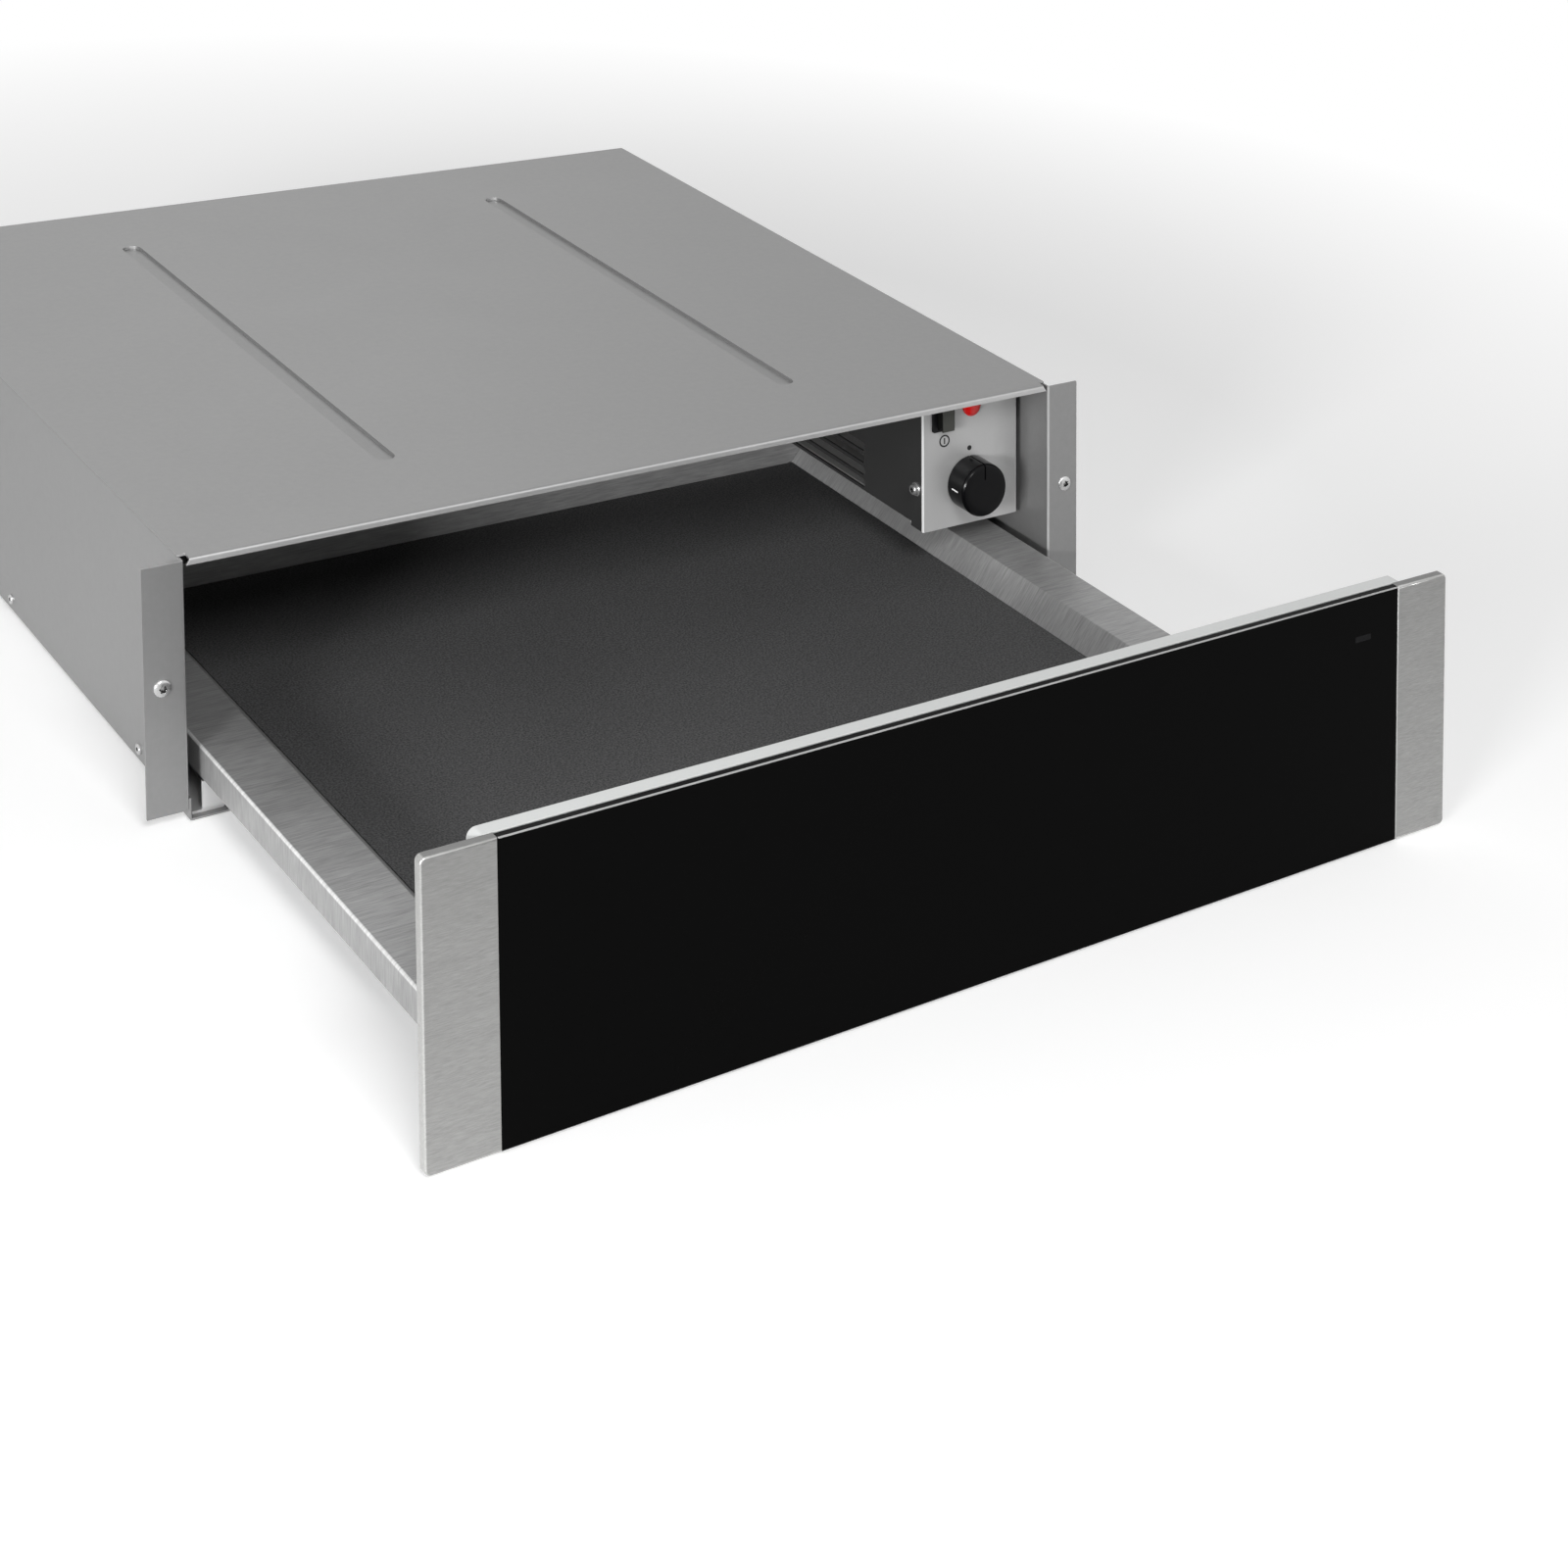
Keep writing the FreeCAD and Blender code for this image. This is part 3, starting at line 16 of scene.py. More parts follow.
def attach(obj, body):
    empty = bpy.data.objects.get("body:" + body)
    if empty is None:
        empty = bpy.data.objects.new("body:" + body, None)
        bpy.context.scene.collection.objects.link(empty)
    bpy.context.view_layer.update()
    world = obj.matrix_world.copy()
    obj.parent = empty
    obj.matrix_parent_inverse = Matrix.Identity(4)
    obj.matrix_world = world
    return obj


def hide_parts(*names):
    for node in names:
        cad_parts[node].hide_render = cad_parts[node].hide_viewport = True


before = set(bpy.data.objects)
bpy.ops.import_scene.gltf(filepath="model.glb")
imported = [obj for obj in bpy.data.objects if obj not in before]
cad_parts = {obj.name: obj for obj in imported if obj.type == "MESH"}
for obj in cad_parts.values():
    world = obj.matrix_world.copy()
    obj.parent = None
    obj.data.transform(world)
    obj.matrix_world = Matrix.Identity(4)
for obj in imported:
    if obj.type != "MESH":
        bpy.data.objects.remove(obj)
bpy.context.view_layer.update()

LOG = logging.getLogger("warming_drawer")
MM = 0.001
Colour = tuple[float, float, float]
Point = tuple[float, float, float]


def grey(level: float) -> Colour:
    """Gives a neutral colour.

    Args:
        level: brightness of all three channels, linear.

    Returns:
        The colour.
    """
    return (level, level, level)


def in_metres(x: float, y: float, z: float) -> Vector:
    """Turns a place in millimetres into metres.

    Args:
        x: to the right.
        y: to the back.
        z: upwards.

    Returns:
        The same place in metres.
    """
    return Vector((x, y, z)) * MM


# Node trees


class Bench:
    """A node tree on the bench: nodes are added and wired here."""

    def __init__(self, tree: bpy.types.NodeTree) -> None:
        """Takes up a tree.

        Args:
            tree: the shader or geometry tree to work on.
        """
        self.tree = tree

    def add(self, kind: str, feeds: dict | None = None, **settings: object) -> bpy.types.Node:
        """Adds one node.

        Args:
            kind: the node's type.
            feeds: values or sockets for its inputs, by input name or number.
            settings: the node's own properties.

        Returns:
            The new node.
        """
        node = self.tree.nodes.new(kind)
        for key, value in settings.items():
            setattr(node, key, value)
        for key, value in (feeds or {}).items():
            self.feed(node.inputs[key], value)
        return node

    def feed(self, socket: bpy.types.NodeSocket, value: object) -> None:
        """Wires a socket or sets its value.

        Args:
            socket: the input to fill.
            value: another node's output, or a plain value.
        """
        if isinstance(value, bpy.types.NodeSocket):
            self.tree.links.new(value, socket)
        elif socket.type == "RGBA" and len(value) == 3:
            socket.default_value = (*value, 1.0)
        else:
            socket.default_value = value

    def maths(self, operation: str, first: object, second: object = 0.0, clamp: bool = False) -> bpy.types.NodeSocket:
        """Works out one sum.

        Args:
            operation: the Math node's operation.
            first: first number or socket.
            second: second number or socket.
            clamp: whether the result is kept between 0 and 1.

        Returns:
            The result's socket.
        """
        return self.add("ShaderNodeMath", {0: first, 1: second}, operation=operation, use_clamp=clamp).outputs[0]

    def span(self, value: object, source: tuple[float, float], target: tuple[float, float]) -> bpy.types.NodeSocket:
        """Maps one range onto another, clamped.

        Args:
            value: number or socket to map.
            source: range that it comes in.
            target: range that it leaves in.

        Returns:
            The mapped value's socket.
        """
        feeds = {0: value, 1: source[0], 2: source[1], 3: target[0], 4: target[1]}
        return self.add("ShaderNodeMapRange", feeds).outputs[0]

    def mix(self, share: object, first: object, second: object) -> bpy.types.NodeSocket:
        """Mixes two colours.

        Args:
            share: how much of the second colour, 0 to 1.
            first: first colour or socket.
            second: second colour or socket.

        Returns:
            The mixed colour's socket.
        """
        return self.add("ShaderNodeMix", {0: share, 6: first, 7: second}, data_type="RGBA").outputs[2]

    def vectors(self, operation: str, first: object, second: object) -> bpy.types.NodeSocket:
        """Works out one vector sum.

        Args:
            operation: the Vector Math node's operation.
            first: first vector or socket.
            second: second vector or socket.

        Returns:
            The vector result's socket.
        """
        return self.add("ShaderNodeVectorMath", {0: first, 1: second}, operation=operation).outputs[0]

    def effect(self, group: bpy.types.NodeTree, feeds: dict) -> bpy.types.Node:
        """Places a shader group.

        Args:
            group: the shared effect.
            feeds: values or sockets for its inputs, by name.

        Returns:
            The group's node.
        """
        node = self.add("ShaderNodeGroup", node_tree=group)
        for key, value in feeds.items():
            self.feed(node.inputs[key], value)
        return node


def new_group(kind: str, name: str, inputs: dict[str, str], outputs: dict[str, str]) -> tuple[Bench, dict, bpy.types.Node]:
    """Starts a node group.

    Args:
        kind: tree type.
        name: group name.
        inputs: socket type by input name.
        outputs: socket type by output name.

    Returns:
        The bench, the input sockets by name, and the output node.
    """
    tree = bpy.data.node_groups.new(name, kind)
    for way, sockets in (("INPUT", inputs), ("OUTPUT", outputs)):
        for label, socket_type in sockets.items():
            tree.interface.new_socket(label, in_out=way, socket_type=socket_type)
    bench = Bench(tree)
    entry = bench.add("NodeGroupInput")
    leave = bench.add("NodeGroupOutput")
    return bench, {label: entry.outputs[label] for label in inputs}, leave


class Effects:
    """The shader groups that several finishes share."""

    def __init__(self) -> None:
        """Builds each group once."""
        self.streaks = self._streaks()
        self.speckle = self._speckle()
        self.smudge = self._smudge()
        self.dust = self._dust()

    def _streaks(self) -> bpy.types.NodeTree:
        """Builds brushed grain: fine lines that are long one way and thin the other.

        Returns:
            The group.
        """
        bench, entry, leave = new_group(
            "ShaderNodeTree", "brushed_grain",
            {"Place": "NodeSocketVector", "Lines per metre": "NodeSocketVector", "Contrast": "NodeSocketFloat"},
            {"Tone": "NodeSocketFloat", "Height": "NodeSocketFloat"},
        )
        stretched = bench.vectors("MULTIPLY", entry["Place"], entry["Lines per metre"])
        fine = bench.add("ShaderNodeTexNoise", {"Vector": stretched, "Scale": 1.0, "Detail": 3.0, "Roughness": 0.65})
        broad = bench.add("ShaderNodeTexNoise", {"Vector": stretched, "Scale": 0.17, "Detail": 1.0})
        sum_up = bench.maths("ADD", bench.maths("MULTIPLY", fine.outputs[0], 0.8), bench.maths("MULTIPLY", broad.outputs[0], 0.2))
        offset = bench.maths("MULTIPLY", bench.maths("SUBTRACT", sum_up, 0.5), entry["Contrast"])
        bench.feed(leave.inputs["Tone"], bench.maths("ADD", offset, 0.5, clamp=True))
        bench.feed(leave.inputs["Height"], fine.outputs[0])
        return bench.tree

    def _speckle(self) -> bpy.types.NodeTree:
        """Builds the even grain of cast, moulded, sprayed or rubber surfaces.

        Returns:
            The group.
        """
        bench, entry, leave = new_group(
            "ShaderNodeTree", "fine_speckle",
            {"Place": "NodeSocketVector", "Grains per metre": "NodeSocketFloat", "Contrast": "NodeSocketFloat"},
            {"Tone": "NodeSocketFloat", "Height": "NodeSocketFloat"},
        )
        noise = bench.add(
            "ShaderNodeTexNoise",
            {"Vector": entry["Place"], "Scale": entry["Grains per metre"], "Detail": 2.0, "Roughness": 0.6},
        )
        offset = bench.maths("MULTIPLY", bench.maths("SUBTRACT", noise.outputs[0], 0.5), entry["Contrast"])
        bench.feed(leave.inputs["Tone"], bench.maths("ADD", offset, 0.5, clamp=True))
        bench.feed(leave.inputs["Height"], noise.outputs[0])
        return bench.tree

    def _smudge(self) -> bpy.types.NodeTree:
        """Builds the broad unevenness that handling and rolling leave in gloss.

        Returns:
            The group.
        """
        bench, entry, leave = new_group(
            "ShaderNodeTree", "handling_smudge",
            {"Place": "NodeSocketVector", "Patches per metre": "NodeSocketFloat"},
            {"Tone": "NodeSocketFloat"},
        )
        noise = bench.add(
            "ShaderNodeTexNoise",
            {"Vector": entry["Place"], "Scale": entry["Patches per metre"], "Detail": 4.0, "Roughness": 0.55, "Distortion": 0.8},
        )
        bench.feed(leave.inputs["Tone"], bench.span(noise.outputs[0], (0.25, 0.75), (0.0, 1.0)))
        return bench.tree

    def _dust(self) -> bpy.types.NodeTree:
        """Builds the film of dust that settles on what faces up.

        Returns:
            The group.
        """
        bench, entry, leave = new_group(
            "ShaderNodeTree", "settled_dust",
            {"Place": "NodeSocketVector", "Amount": "NodeSocketFloat"},
            {"Mask": "NodeSocketFloat"},
        )
        facing = bench.add("ShaderNodeSeparateXYZ", {0: bench.add("ShaderNodeNewGeometry").outputs["Normal"]}).outputs[2]
        upward = bench.span(facing, (0.5, 1.0), (0.0, 1.0))
        noise = bench.add("ShaderNodeTexNoise", {"Vector": entry["Place"], "Scale": 160.0, "Detail": 5.0, "Roughness": 0.7})
        spread = bench.maths("MULTIPLY", bench.span(noise.outputs[0], (0.4, 0.75), (0.0, 1.0)), entry["Amount"])
        bench.feed(leave.inputs["Mask"], bench.maths("MULTIPLY", upward, spread))
        return bench.tree


# Finishes


@dataclass(frozen=True)
class Grain:
    """Brushed or rolled lines in a metal: lines per metre along X, Y and Z, and how strong they are."""

    lines: Point
    contrast: float = 1.0
    tone: float = 0.1
    bump: float = 0.1


@dataclass(frozen=True)
class Speckle:
    """Even grain of a surface: grains per metre and how strong they are."""

    grains: float
    contrast: float = 1.0
    tone: float = 0.1
    bump: float = 0.1


@dataclass(frozen=True)
class Finish:
    """One surface finish. The name is also that of the record's material slot."""

    name: str
    colour: Colour
    roughness: float
    metallic: float = 0.0
    specular: float = 0.5
    index: float = 1.45
    coat: float = 0.0
    coat_roughness: float = 0.1
    gloss_spread: float = 0.06
    patches: float = 9.0
    patch_tone: float = 0.04
    dust: float = 0.0
    grain: Grain | None = None
    speckle: Speckle | None = None
    slot: str = ""

    def material(self, effects: Effects) -> bpy.types.Material:
        """Makes the Blender material.

        Args:
            effects: the shared shader groups.

        Returns:
            The material.
        """
        made = bpy.data.materials.new(self.name)
        made.use_nodes = True
        made.node_tree.nodes.clear()
        bench = Bench(made.node_tree)
        place = bench.add("ShaderNodeTexCoord").outputs["Object"]
        smudge = bench.effect(effects.smudge, {"Place": place, "Patches per metre": self.patches}).outputs["Tone"]
        shade = bench.span(smudge, (0.0, 1.0), (1.0 - self.patch_tone, 1.0 + self.patch_tone))
        heights = []
        if self.grain:
            lines = bench.effect(
                effects.streaks, {"Place": place, "Lines per metre": self.grain.lines, "Contrast": self.grain.contrast}
            )
            shade = bench.maths("MULTIPLY", shade, self.swing(bench, lines.outputs["Tone"], self.grain.tone))
            heights.append((lines.outputs["Height"], self.grain.bump))
        if self.speckle:
            dots = bench.effect(
                effects.speckle,
                {"Place": place, "Grains per metre": self.speckle.grains, "Contrast": self.speckle.contrast},
            )
            shade = bench.maths("MULTIPLY", shade, self.swing(bench, dots.outputs["Tone"], self.speckle.tone))
            heights.append((dots.outputs["Height"], self.speckle.bump))
        colour = self.tint(bench, place, bench.vectors("SCALE", self.colour, grey(0.0)).node, shade)
        if self.dust:
            mask = bench.effect(effects.dust, {"Place": place, "Amount": self.dust}).outputs["Mask"]
            colour = bench.mix(mask, colour, (0.42, 0.40, 0.37))
        rough = bench.span(smudge, (0.0, 1.0), (self.roughness - self.gloss_spread, self.roughness + self.gloss_spread))
        surface = self.surface(bench, colour, rough, self.relief(bench, heights))
        bench.add("ShaderNodeOutputMaterial", {"Surface": surface.outputs[0]})
        return made

    def swing(self, bench: Bench, tone: bpy.types.NodeSocket, depth: float) -> bpy.types.NodeSocket:
        """Turns a tone of 0 to 1 into a factor about 1.

        Args:
            bench: the material's tree.
            tone: the effect's tone.
            depth: how far the factor leaves 1.

        Returns:
            The factor's socket.
        """
        return bench.span(tone, (0.0, 1.0), (1.0 - depth, 1.0 + depth))

    def tint(
        self, bench: Bench, place: bpy.types.NodeSocket, scaled: bpy.types.Node, shade: bpy.types.NodeSocket
    ) -> bpy.types.NodeSocket:
        """Applies the shade to the finish's colour.

        Args:
            bench: the material's tree.
            place: object coordinates.
            scaled: the node that scales the colour.
            shade: the factor to scale it by.

        Returns:
            The colour's socket.
        """
        bench.feed(scaled.inputs["Scale"], shade)
        return scaled.outputs[0]

    def relief(self, bench: Bench, heights: list) -> bpy.types.NodeSocket | None:
        """Stacks the effects' heights into a normal.

        Args:
            bench: the material's tree.
            heights: pairs of height socket and strength.

        Returns:
            The normal's socket, or None where nothing is raised.
        """
        normal = None
        for height, strength in heights:
            if strength:
                bump = bench.add("ShaderNodeBump", {"Strength": strength, "Distance": 0.0002, "Height": height})
                if normal:
                    bench.feed(bump.inputs["Normal"], normal)
                normal = bump.outputs[0]
        return normal

    def surface(
        self, bench: Bench, colour: bpy.types.NodeSocket, rough: bpy.types.NodeSocket,
        normal: bpy.types.NodeSocket | None,
    ) -> bpy.types.Node:
        """Adds the shader itself.

        Args:
            bench: the material's tree.
            colour: base colour.
            rough: roughness.
            normal: normal, or None.

        Returns:
            The shader node.
        """
        feeds = {
            "Base Color": colour, "Roughness": rough, "Metallic": self.metallic, "Specular IOR Level": self.specular,
            "IOR": self.index,
            "Coat Weight": self.coat, "Coat Roughness": self.coat_roughness,
        }
        if normal:
            feeds["Normal"] = normal
        return bench.add("ShaderNodeBsdfPrincipled", feeds)


@dataclass(frozen=True)
class GlassFinish(Finish):
    """Black back-printed glass with a clear window in its print and a painted highlight on the upward-facing ground
    arris of its top edge.
    """

    window: Point = (0.2372, 0.1182, 0.0)
    window_half: Point = (0.0054, 0.0015, 0.0)
    window_corner: float = 0.0006
    window_colour: Colour = (0.009, 0.009, 0.0095)
    # Painted highlight on the upward-facing arris of the top edge.
    arris_highlight_colour: Colour = (0.30, 0.30, 0.30)

    def tint(
        self, bench: Bench, place: bpy.types.NodeSocket, scaled: bpy.types.Node, shade: bpy.types.NodeSocket
    ) -> bpy.types.NodeSocket:
        """Draws the window, and a painted highlight on the upward-facing ground edge, on the black.

        Args:
            bench: the material's tree.
            place: object coordinates.
            scaled: the node that scales the colour.
            shade: the factor to scale it by.

        Returns:
            The colour's socket.
        """
        bench.feed(scaled.inputs["Scale"], shade)
        across, _, up = bench.add("ShaderNodeSeparateXYZ", {0: place}).outputs
        flat = bench.add("ShaderNodeCombineXYZ", {0: across, 1: up}).outputs[0]
        away = bench.add("ShaderNodeVectorMath", {0: bench.vectors("SUBTRACT", flat, self.window)}, operation="ABSOLUTE").outputs[0]
        core = tuple(max(half - self.window_corner, 0.0) for half in self.window_half)
        past = bench.vectors("MAXIMUM", bench.vectors("SUBTRACT", away, core), grey(0.0))
        reach = bench.add("ShaderNodeVectorMath", {0: past}, operation="LENGTH").outputs["Value"]
        clear = bench.span(reach, (self.window_corner, self.window_corner + 0.0001), (1.0, 0.0))
        _, ahead, above = bench.add(
            "ShaderNodeSeparateXYZ", {0: bench.add("ShaderNodeNewGeometry").outputs["Normal"]}
        ).outputs
        # Mask of the upward-facing top arris that gets the painted highlight.
        painted_arris_highlight = bench.maths("MULTIPLY", bench.span(ahead, (-0.4, -0.3), (1.0, 0.0)), bench.span(above, (0.3, 0.4), (0.0, 1.0)))
        colour = bench.mix(clear, scaled.outputs[0], self.window_colour)
        return bench.mix(painted_arris_highlight, colour, self.arris_highlight_colour)


@dataclass(frozen=True)
class EdgeHighlightFinish(Finish):
    """Brushed metal with a painted highlight on its edges and sides, painted shade on its top, and a painted gradient
    of light and shade with height.
    """

    # Painted light: the first gain is a painted highlight on edges and sides, the second is painted shade on the top,
    # and heights with the last pair give a painted gradient with height.
    painted_edge_highlight: float = 1.7
    painted_top_shade: float = 0.8
    heights: tuple[float, float] = (0.0, 0.14)
    painted_gradient_ends: tuple[float, float] = (1.0, 1.0)

    def tint(
        self, bench: Bench, place: bpy.types.NodeSocket, scaled: bpy.types.Node, shade: bpy.types.NodeSocket
    ) -> bpy.types.NodeSocket:
        """Paints a highlight on what doesn't face the front, shade on the top, and a gradient of light and shade with
        height.

        Args:
            bench: the material's tree.
            place: object coordinates.
            scaled: the node that scales the colour.
            shade: the factor to scale it by.

        Returns:
            The colour's socket.
        """
        _, ahead, above = bench.add(
            "ShaderNodeSeparateXYZ", {0: bench.add("ShaderNodeNewGeometry").outputs["Normal"]}
        ).outputs
        # away is a painted highlight on edges and sides, level is painted shade on the top, and the height factor is a
        # painted gradient of light and shade.
        away = bench.span(ahead, (-0.99, -0.85), (1.0, self.painted_edge_highlight))
        level = bench.span(above, (0.9, 0.99), (1.0, self.painted_top_shade / self.painted_edge_highlight))
        high = bench.add("ShaderNodeSeparateXYZ", {0: place}).outputs[2]
        painted_height_gradient = bench.span(high, self.heights, self.painted_gradient_ends)
        painted_light_gain = bench.maths("MULTIPLY", bench.maths("MULTIPLY", away, level), painted_height_gradient)
        bench.feed(scaled.inputs["Scale"], bench.maths("MULTIPLY", shade, painted_light_gain))
        return scaled.outputs[0]


@dataclass(frozen=True)
class BendHighlightFinish(Finish):
    """Sheet whose rounded bends carry a painted highlight.

    The bends lie between one main way and the side, outwards (1) or inwards (-1).
    """

    # Painted highlight: the gain on the rounded bends.
    painted_bend_highlight: float = 2.1
    main_way: Point = (0.0, 0.0, 1.0)
    outwards: float = 1.0

    def tint(
        self, bench: Bench, place: bpy.types.NodeSocket, scaled: bpy.types.Node, shade: bpy.types.NodeSocket
    ) -> bpy.types.NodeSocket:
        """Paints a highlight on the faces that lie between the main way and the side.

        Args:
            bench: the material's tree.
            place: object coordinates.
            scaled: the node that scales the colour.
            shade: the factor to scale it by.

        Returns:
            The colour's socket.
        """
        normal = bench.add("ShaderNodeNewGeometry").outputs["Normal"]
        across = bench.add("ShaderNodeSeparateXYZ", {0: normal}).outputs[0]
        side = bench.maths("MULTIPLY", bench.add("ShaderNodeSeparateXYZ", {0: place}).outputs[0], self.outwards)
        sideways = bench.maths("MULTIPLY", across, bench.maths("SIGN", side))
        mainly = bench.add("ShaderNodeVectorMath", {0: normal, 1: self.main_way}, operation="DOT_PRODUCT").outputs["Value"]
        first = bench.span(mainly, (0.15, 0.45), (0.0, 1.0))
        second = bench.span(sideways, (0.15, 0.45), (0.0, 1.0))
        # bend masks the painted highlight on the rounded bends.
        bend = bench.maths("MULTIPLY", first, second)
        painted_light_gain = bench.span(bend, (0.0, 1.0), (1.0, self.painted_bend_highlight))
        bench.feed(scaled.inputs["Scale"], bench.maths("MULTIPLY", shade, painted_light_gain))
        return scaled.outputs[0]


@dataclass(frozen=True)
class LitFaceFinish(Finish):
    """A finish whose main face is painted lighter than its sides: painted light on the face, painted shade on the
    sides.
    """

    facing: Point = (0.0, -1.0, 0.0)
    # Painted shade: the share of the colour that the sides keep.
    painted_side_shade: float = 0.12

    def tint(
        self, bench: Bench, place: bpy.types.NodeSocket, scaled: bpy.types.Node, shade: bpy.types.NodeSocket
    ) -> bpy.types.NodeSocket:
        """Paints shade on what doesn't face the main way.

        Args:
            bench: the material's tree.
            place: object coordinates.
            scaled: the node that scales the colour.
            shade: the factor to scale it by.

        Returns:
            The colour's socket.
        """
        normal = bench.add("ShaderNodeNewGeometry").outputs["Normal"]
        towards = bench.add("ShaderNodeVectorMath", {0: normal, 1: self.facing}, operation="DOT_PRODUCT").outputs["Value"]
        share = bench.span(towards, (0.6, 0.85), (self.painted_side_shade, 1.0))
        bench.feed(scaled.inputs["Scale"], bench.maths("MULTIPLY", shade, share))
        return scaled.outputs[0]


@dataclass(frozen=True)
class RecessShadeFinish(Finish):
    """Bright screw steel with painted shade in its recess."""

    # Painted shade: the share of the colour that the recess keeps.
    painted_recess_shade: float = 0.10

    def tint(
        self, bench: Bench, place: bpy.types.NodeSocket, scaled: bpy.types.Node, shade: bpy.types.NodeSocket
    ) -> bpy.types.NodeSocket:
        """Darkens the recess: painted shade.

        Args:
            bench: the material's tree.
            place: object coordinates.
            scaled: the node that scales the colour.
            shade: the factor to scale it by.

        Returns:
            The colour's socket.
        """
        recess = bench.add("ShaderNodeAttribute", attribute_name="recess").outputs["Fac"]
        share = bench.span(recess, (0.0, 1.0), (1.0, self.painted_recess_shade))
        bench.feed(scaled.inputs["Scale"], bench.maths("MULTIPLY", shade, share))
        return scaled.outputs[0]


@dataclass(frozen=True)
class ClearFinish(Finish):
    """Clear moulded plastic."""

    def surface(
        self, bench: Bench, colour: bpy.types.NodeSocket, rough: bpy.types.NodeSocket,
        normal: bpy.types.NodeSocket | None,
    ) -> bpy.types.Node:
        """Adds the shader with its light let through.

        Args:
            bench: the material's tree.
            colour: base colour.
            rough: roughness.
            normal: normal, or None.

        Returns:
            The shader node.
        """
        made = super().surface(bench, colour, rough, normal)
        made.inputs["Transmission Weight"].default_value = 0.7
        return made


SHEET_ROLL = (40.0, 900.0, 40.0)
FRONT_BRUSH = (190.0, 2000.0, 2000.0)
TRAY_BRUSH = (75.0, 1100.0, 75.0)


class Metals:
    """Finishes of the metal pieces."""

    HOUSING = Finish(
        "housing_sheet", grey(0.25), 0.42, metallic=0.55, patch_tone=0.03, gloss_spread=0.04, dust=0.05,
        grain=Grain((900.0, 900.0, 30.0), 0.8, 0.03, 0.04), speckle=Speckle(260.0, 1.2, 0.04, 0.03),
    )
    # Top plate: its front-facing lip is painted lighter than the rest, as painted light; the rest matches the other
    # sheets.
    TOP = LitFaceFinish(
        "housing_sheet.top", grey(0.44), 0.42, metallic=0.55, patch_tone=0.03, gloss_spread=0.04, dust=0.05,
        grain=Grain((900.0, 900.0, 30.0), 0.8, 0.03, 0.04), speckle=Speckle(260.0, 1.2, 0.04, 0.03), slot="housing_sheet",
        painted_side_shade=0.57,
    )
    # Side panels: painted highlight on the bend between each post and its wall.
    POST = BendHighlightFinish(
        "housing_sheet.post", grey(0.25), 0.42, metallic=0.55, patch_tone=0.03, gloss_spread=0.04, dust=0.05,
        grain=Grain((900.0, 900.0, 30.0), 0.8, 0.03, 0.04), speckle=Speckle(260.0, 1.2, 0.04, 0.03), slot="housing_sheet",
        painted_bend_highlight=1.9, main_way=(0.0, -1.0, 0.0), outwards=-1.0,
    )
    # Tray: painted highlight on the rounded bends of its rim.
    TRAY = BendHighlightFinish(
        "tray_steel", grey(0.31), 0.40, metallic=0.32, grain=Grain(TRAY_BRUSH, 2.4, 0.27, 0.48), patch_tone=0.07, patches=14.0,
    )
    TRAY_WALL = Finish(
        "tray_steel.wall", grey(0.31), 0.40, metallic=0.32, grain=Grain((70.0, 70.0, 950.0), 2.4, 0.24, 0.45),
        slot="tray_steel",
    )
    BRIGHT = Finish(
        "bright_sheet", grey(0.60), 0.34, metallic=0.6, grain=Grain(SHEET_ROLL, 0.9, 0.06, 0.08), patch_tone=0.06,
    )
    RAIL = Finish(
        "rail_zinc", (0.46, 0.47, 0.48), 0.30, metallic=0.95, grain=Grain((700.0, 20.0, 700.0), 1.0, 0.06, 0.08),
        speckle=Speckle(420.0, 1.3, 0.06, 0.05), patches=22.0,
    )
    BALL = Finish("ball_steel", grey(0.60), 0.10, metallic=1.0, gloss_spread=0.03, speckle=Speckle(2000.0, 1.0, 0.04, 0.02))
    # End strips: painted highlight on their rounded edges and sides, painted shade on their tops, and painted lighter
    # at the foot than at the top.
    FRONT = EdgeHighlightFinish(
        "front_steel", (0.288, 0.288, 0.283), 0.38, metallic=0.75, grain=Grain(FRONT_BRUSH, 2.0, 0.20, 0.40),
        painted_edge_highlight=1.55, painted_top_shade=0.68, painted_gradient_ends=(1.12, 0.89),
    )
    CARRIER = Finish(
        "carrier_paint", (0.60, 0.61, 0.605), 0.38, metallic=0.35, speckle=Speckle(1400.0, 1.2, 0.03, 0.06), patch_tone=0.03,
    )
    # Fascia: painted highlight on its rounded hem and sides, and painted lighter low down than high up.
    FASCIA = EdgeHighlightFinish(
        "fascia_silver", grey(0.42), 0.38, metallic=0.45, speckle=Speckle(1800.0, 1.4, 0.05, 0.06), patch_tone=0.03,
        painted_edge_highlight=1.95, painted_top_shade=1.0, heights=(0.05, 0.13), painted_gradient_ends=(1.18, 0.92),
    )
    COVER = Finish(
        "black_sheet", grey(0.034), 0.42, metallic=0.1, speckle=Speckle(1600.0, 1.5, 0.12, 0.10), patch_tone=0.08, dust=0.04,
    )
    HEATER = Finish(
        "heater_steel", (0.34, 0.31, 0.28), 0.38, metallic=0.9, speckle=Speckle(300.0, 1.6, 0.18, 0.10), patches=40.0,
        patch_tone=0.16,
    )
    # Screws: their recesses are painted dark, as painted shade.
    SCREW = RecessShadeFinish(
        "screw_steel", grey(0.52), 0.26, metallic=0.8, speckle=Speckle(2400.0, 1.3, 0.05, 0.05), patch_tone=0.05,
    )


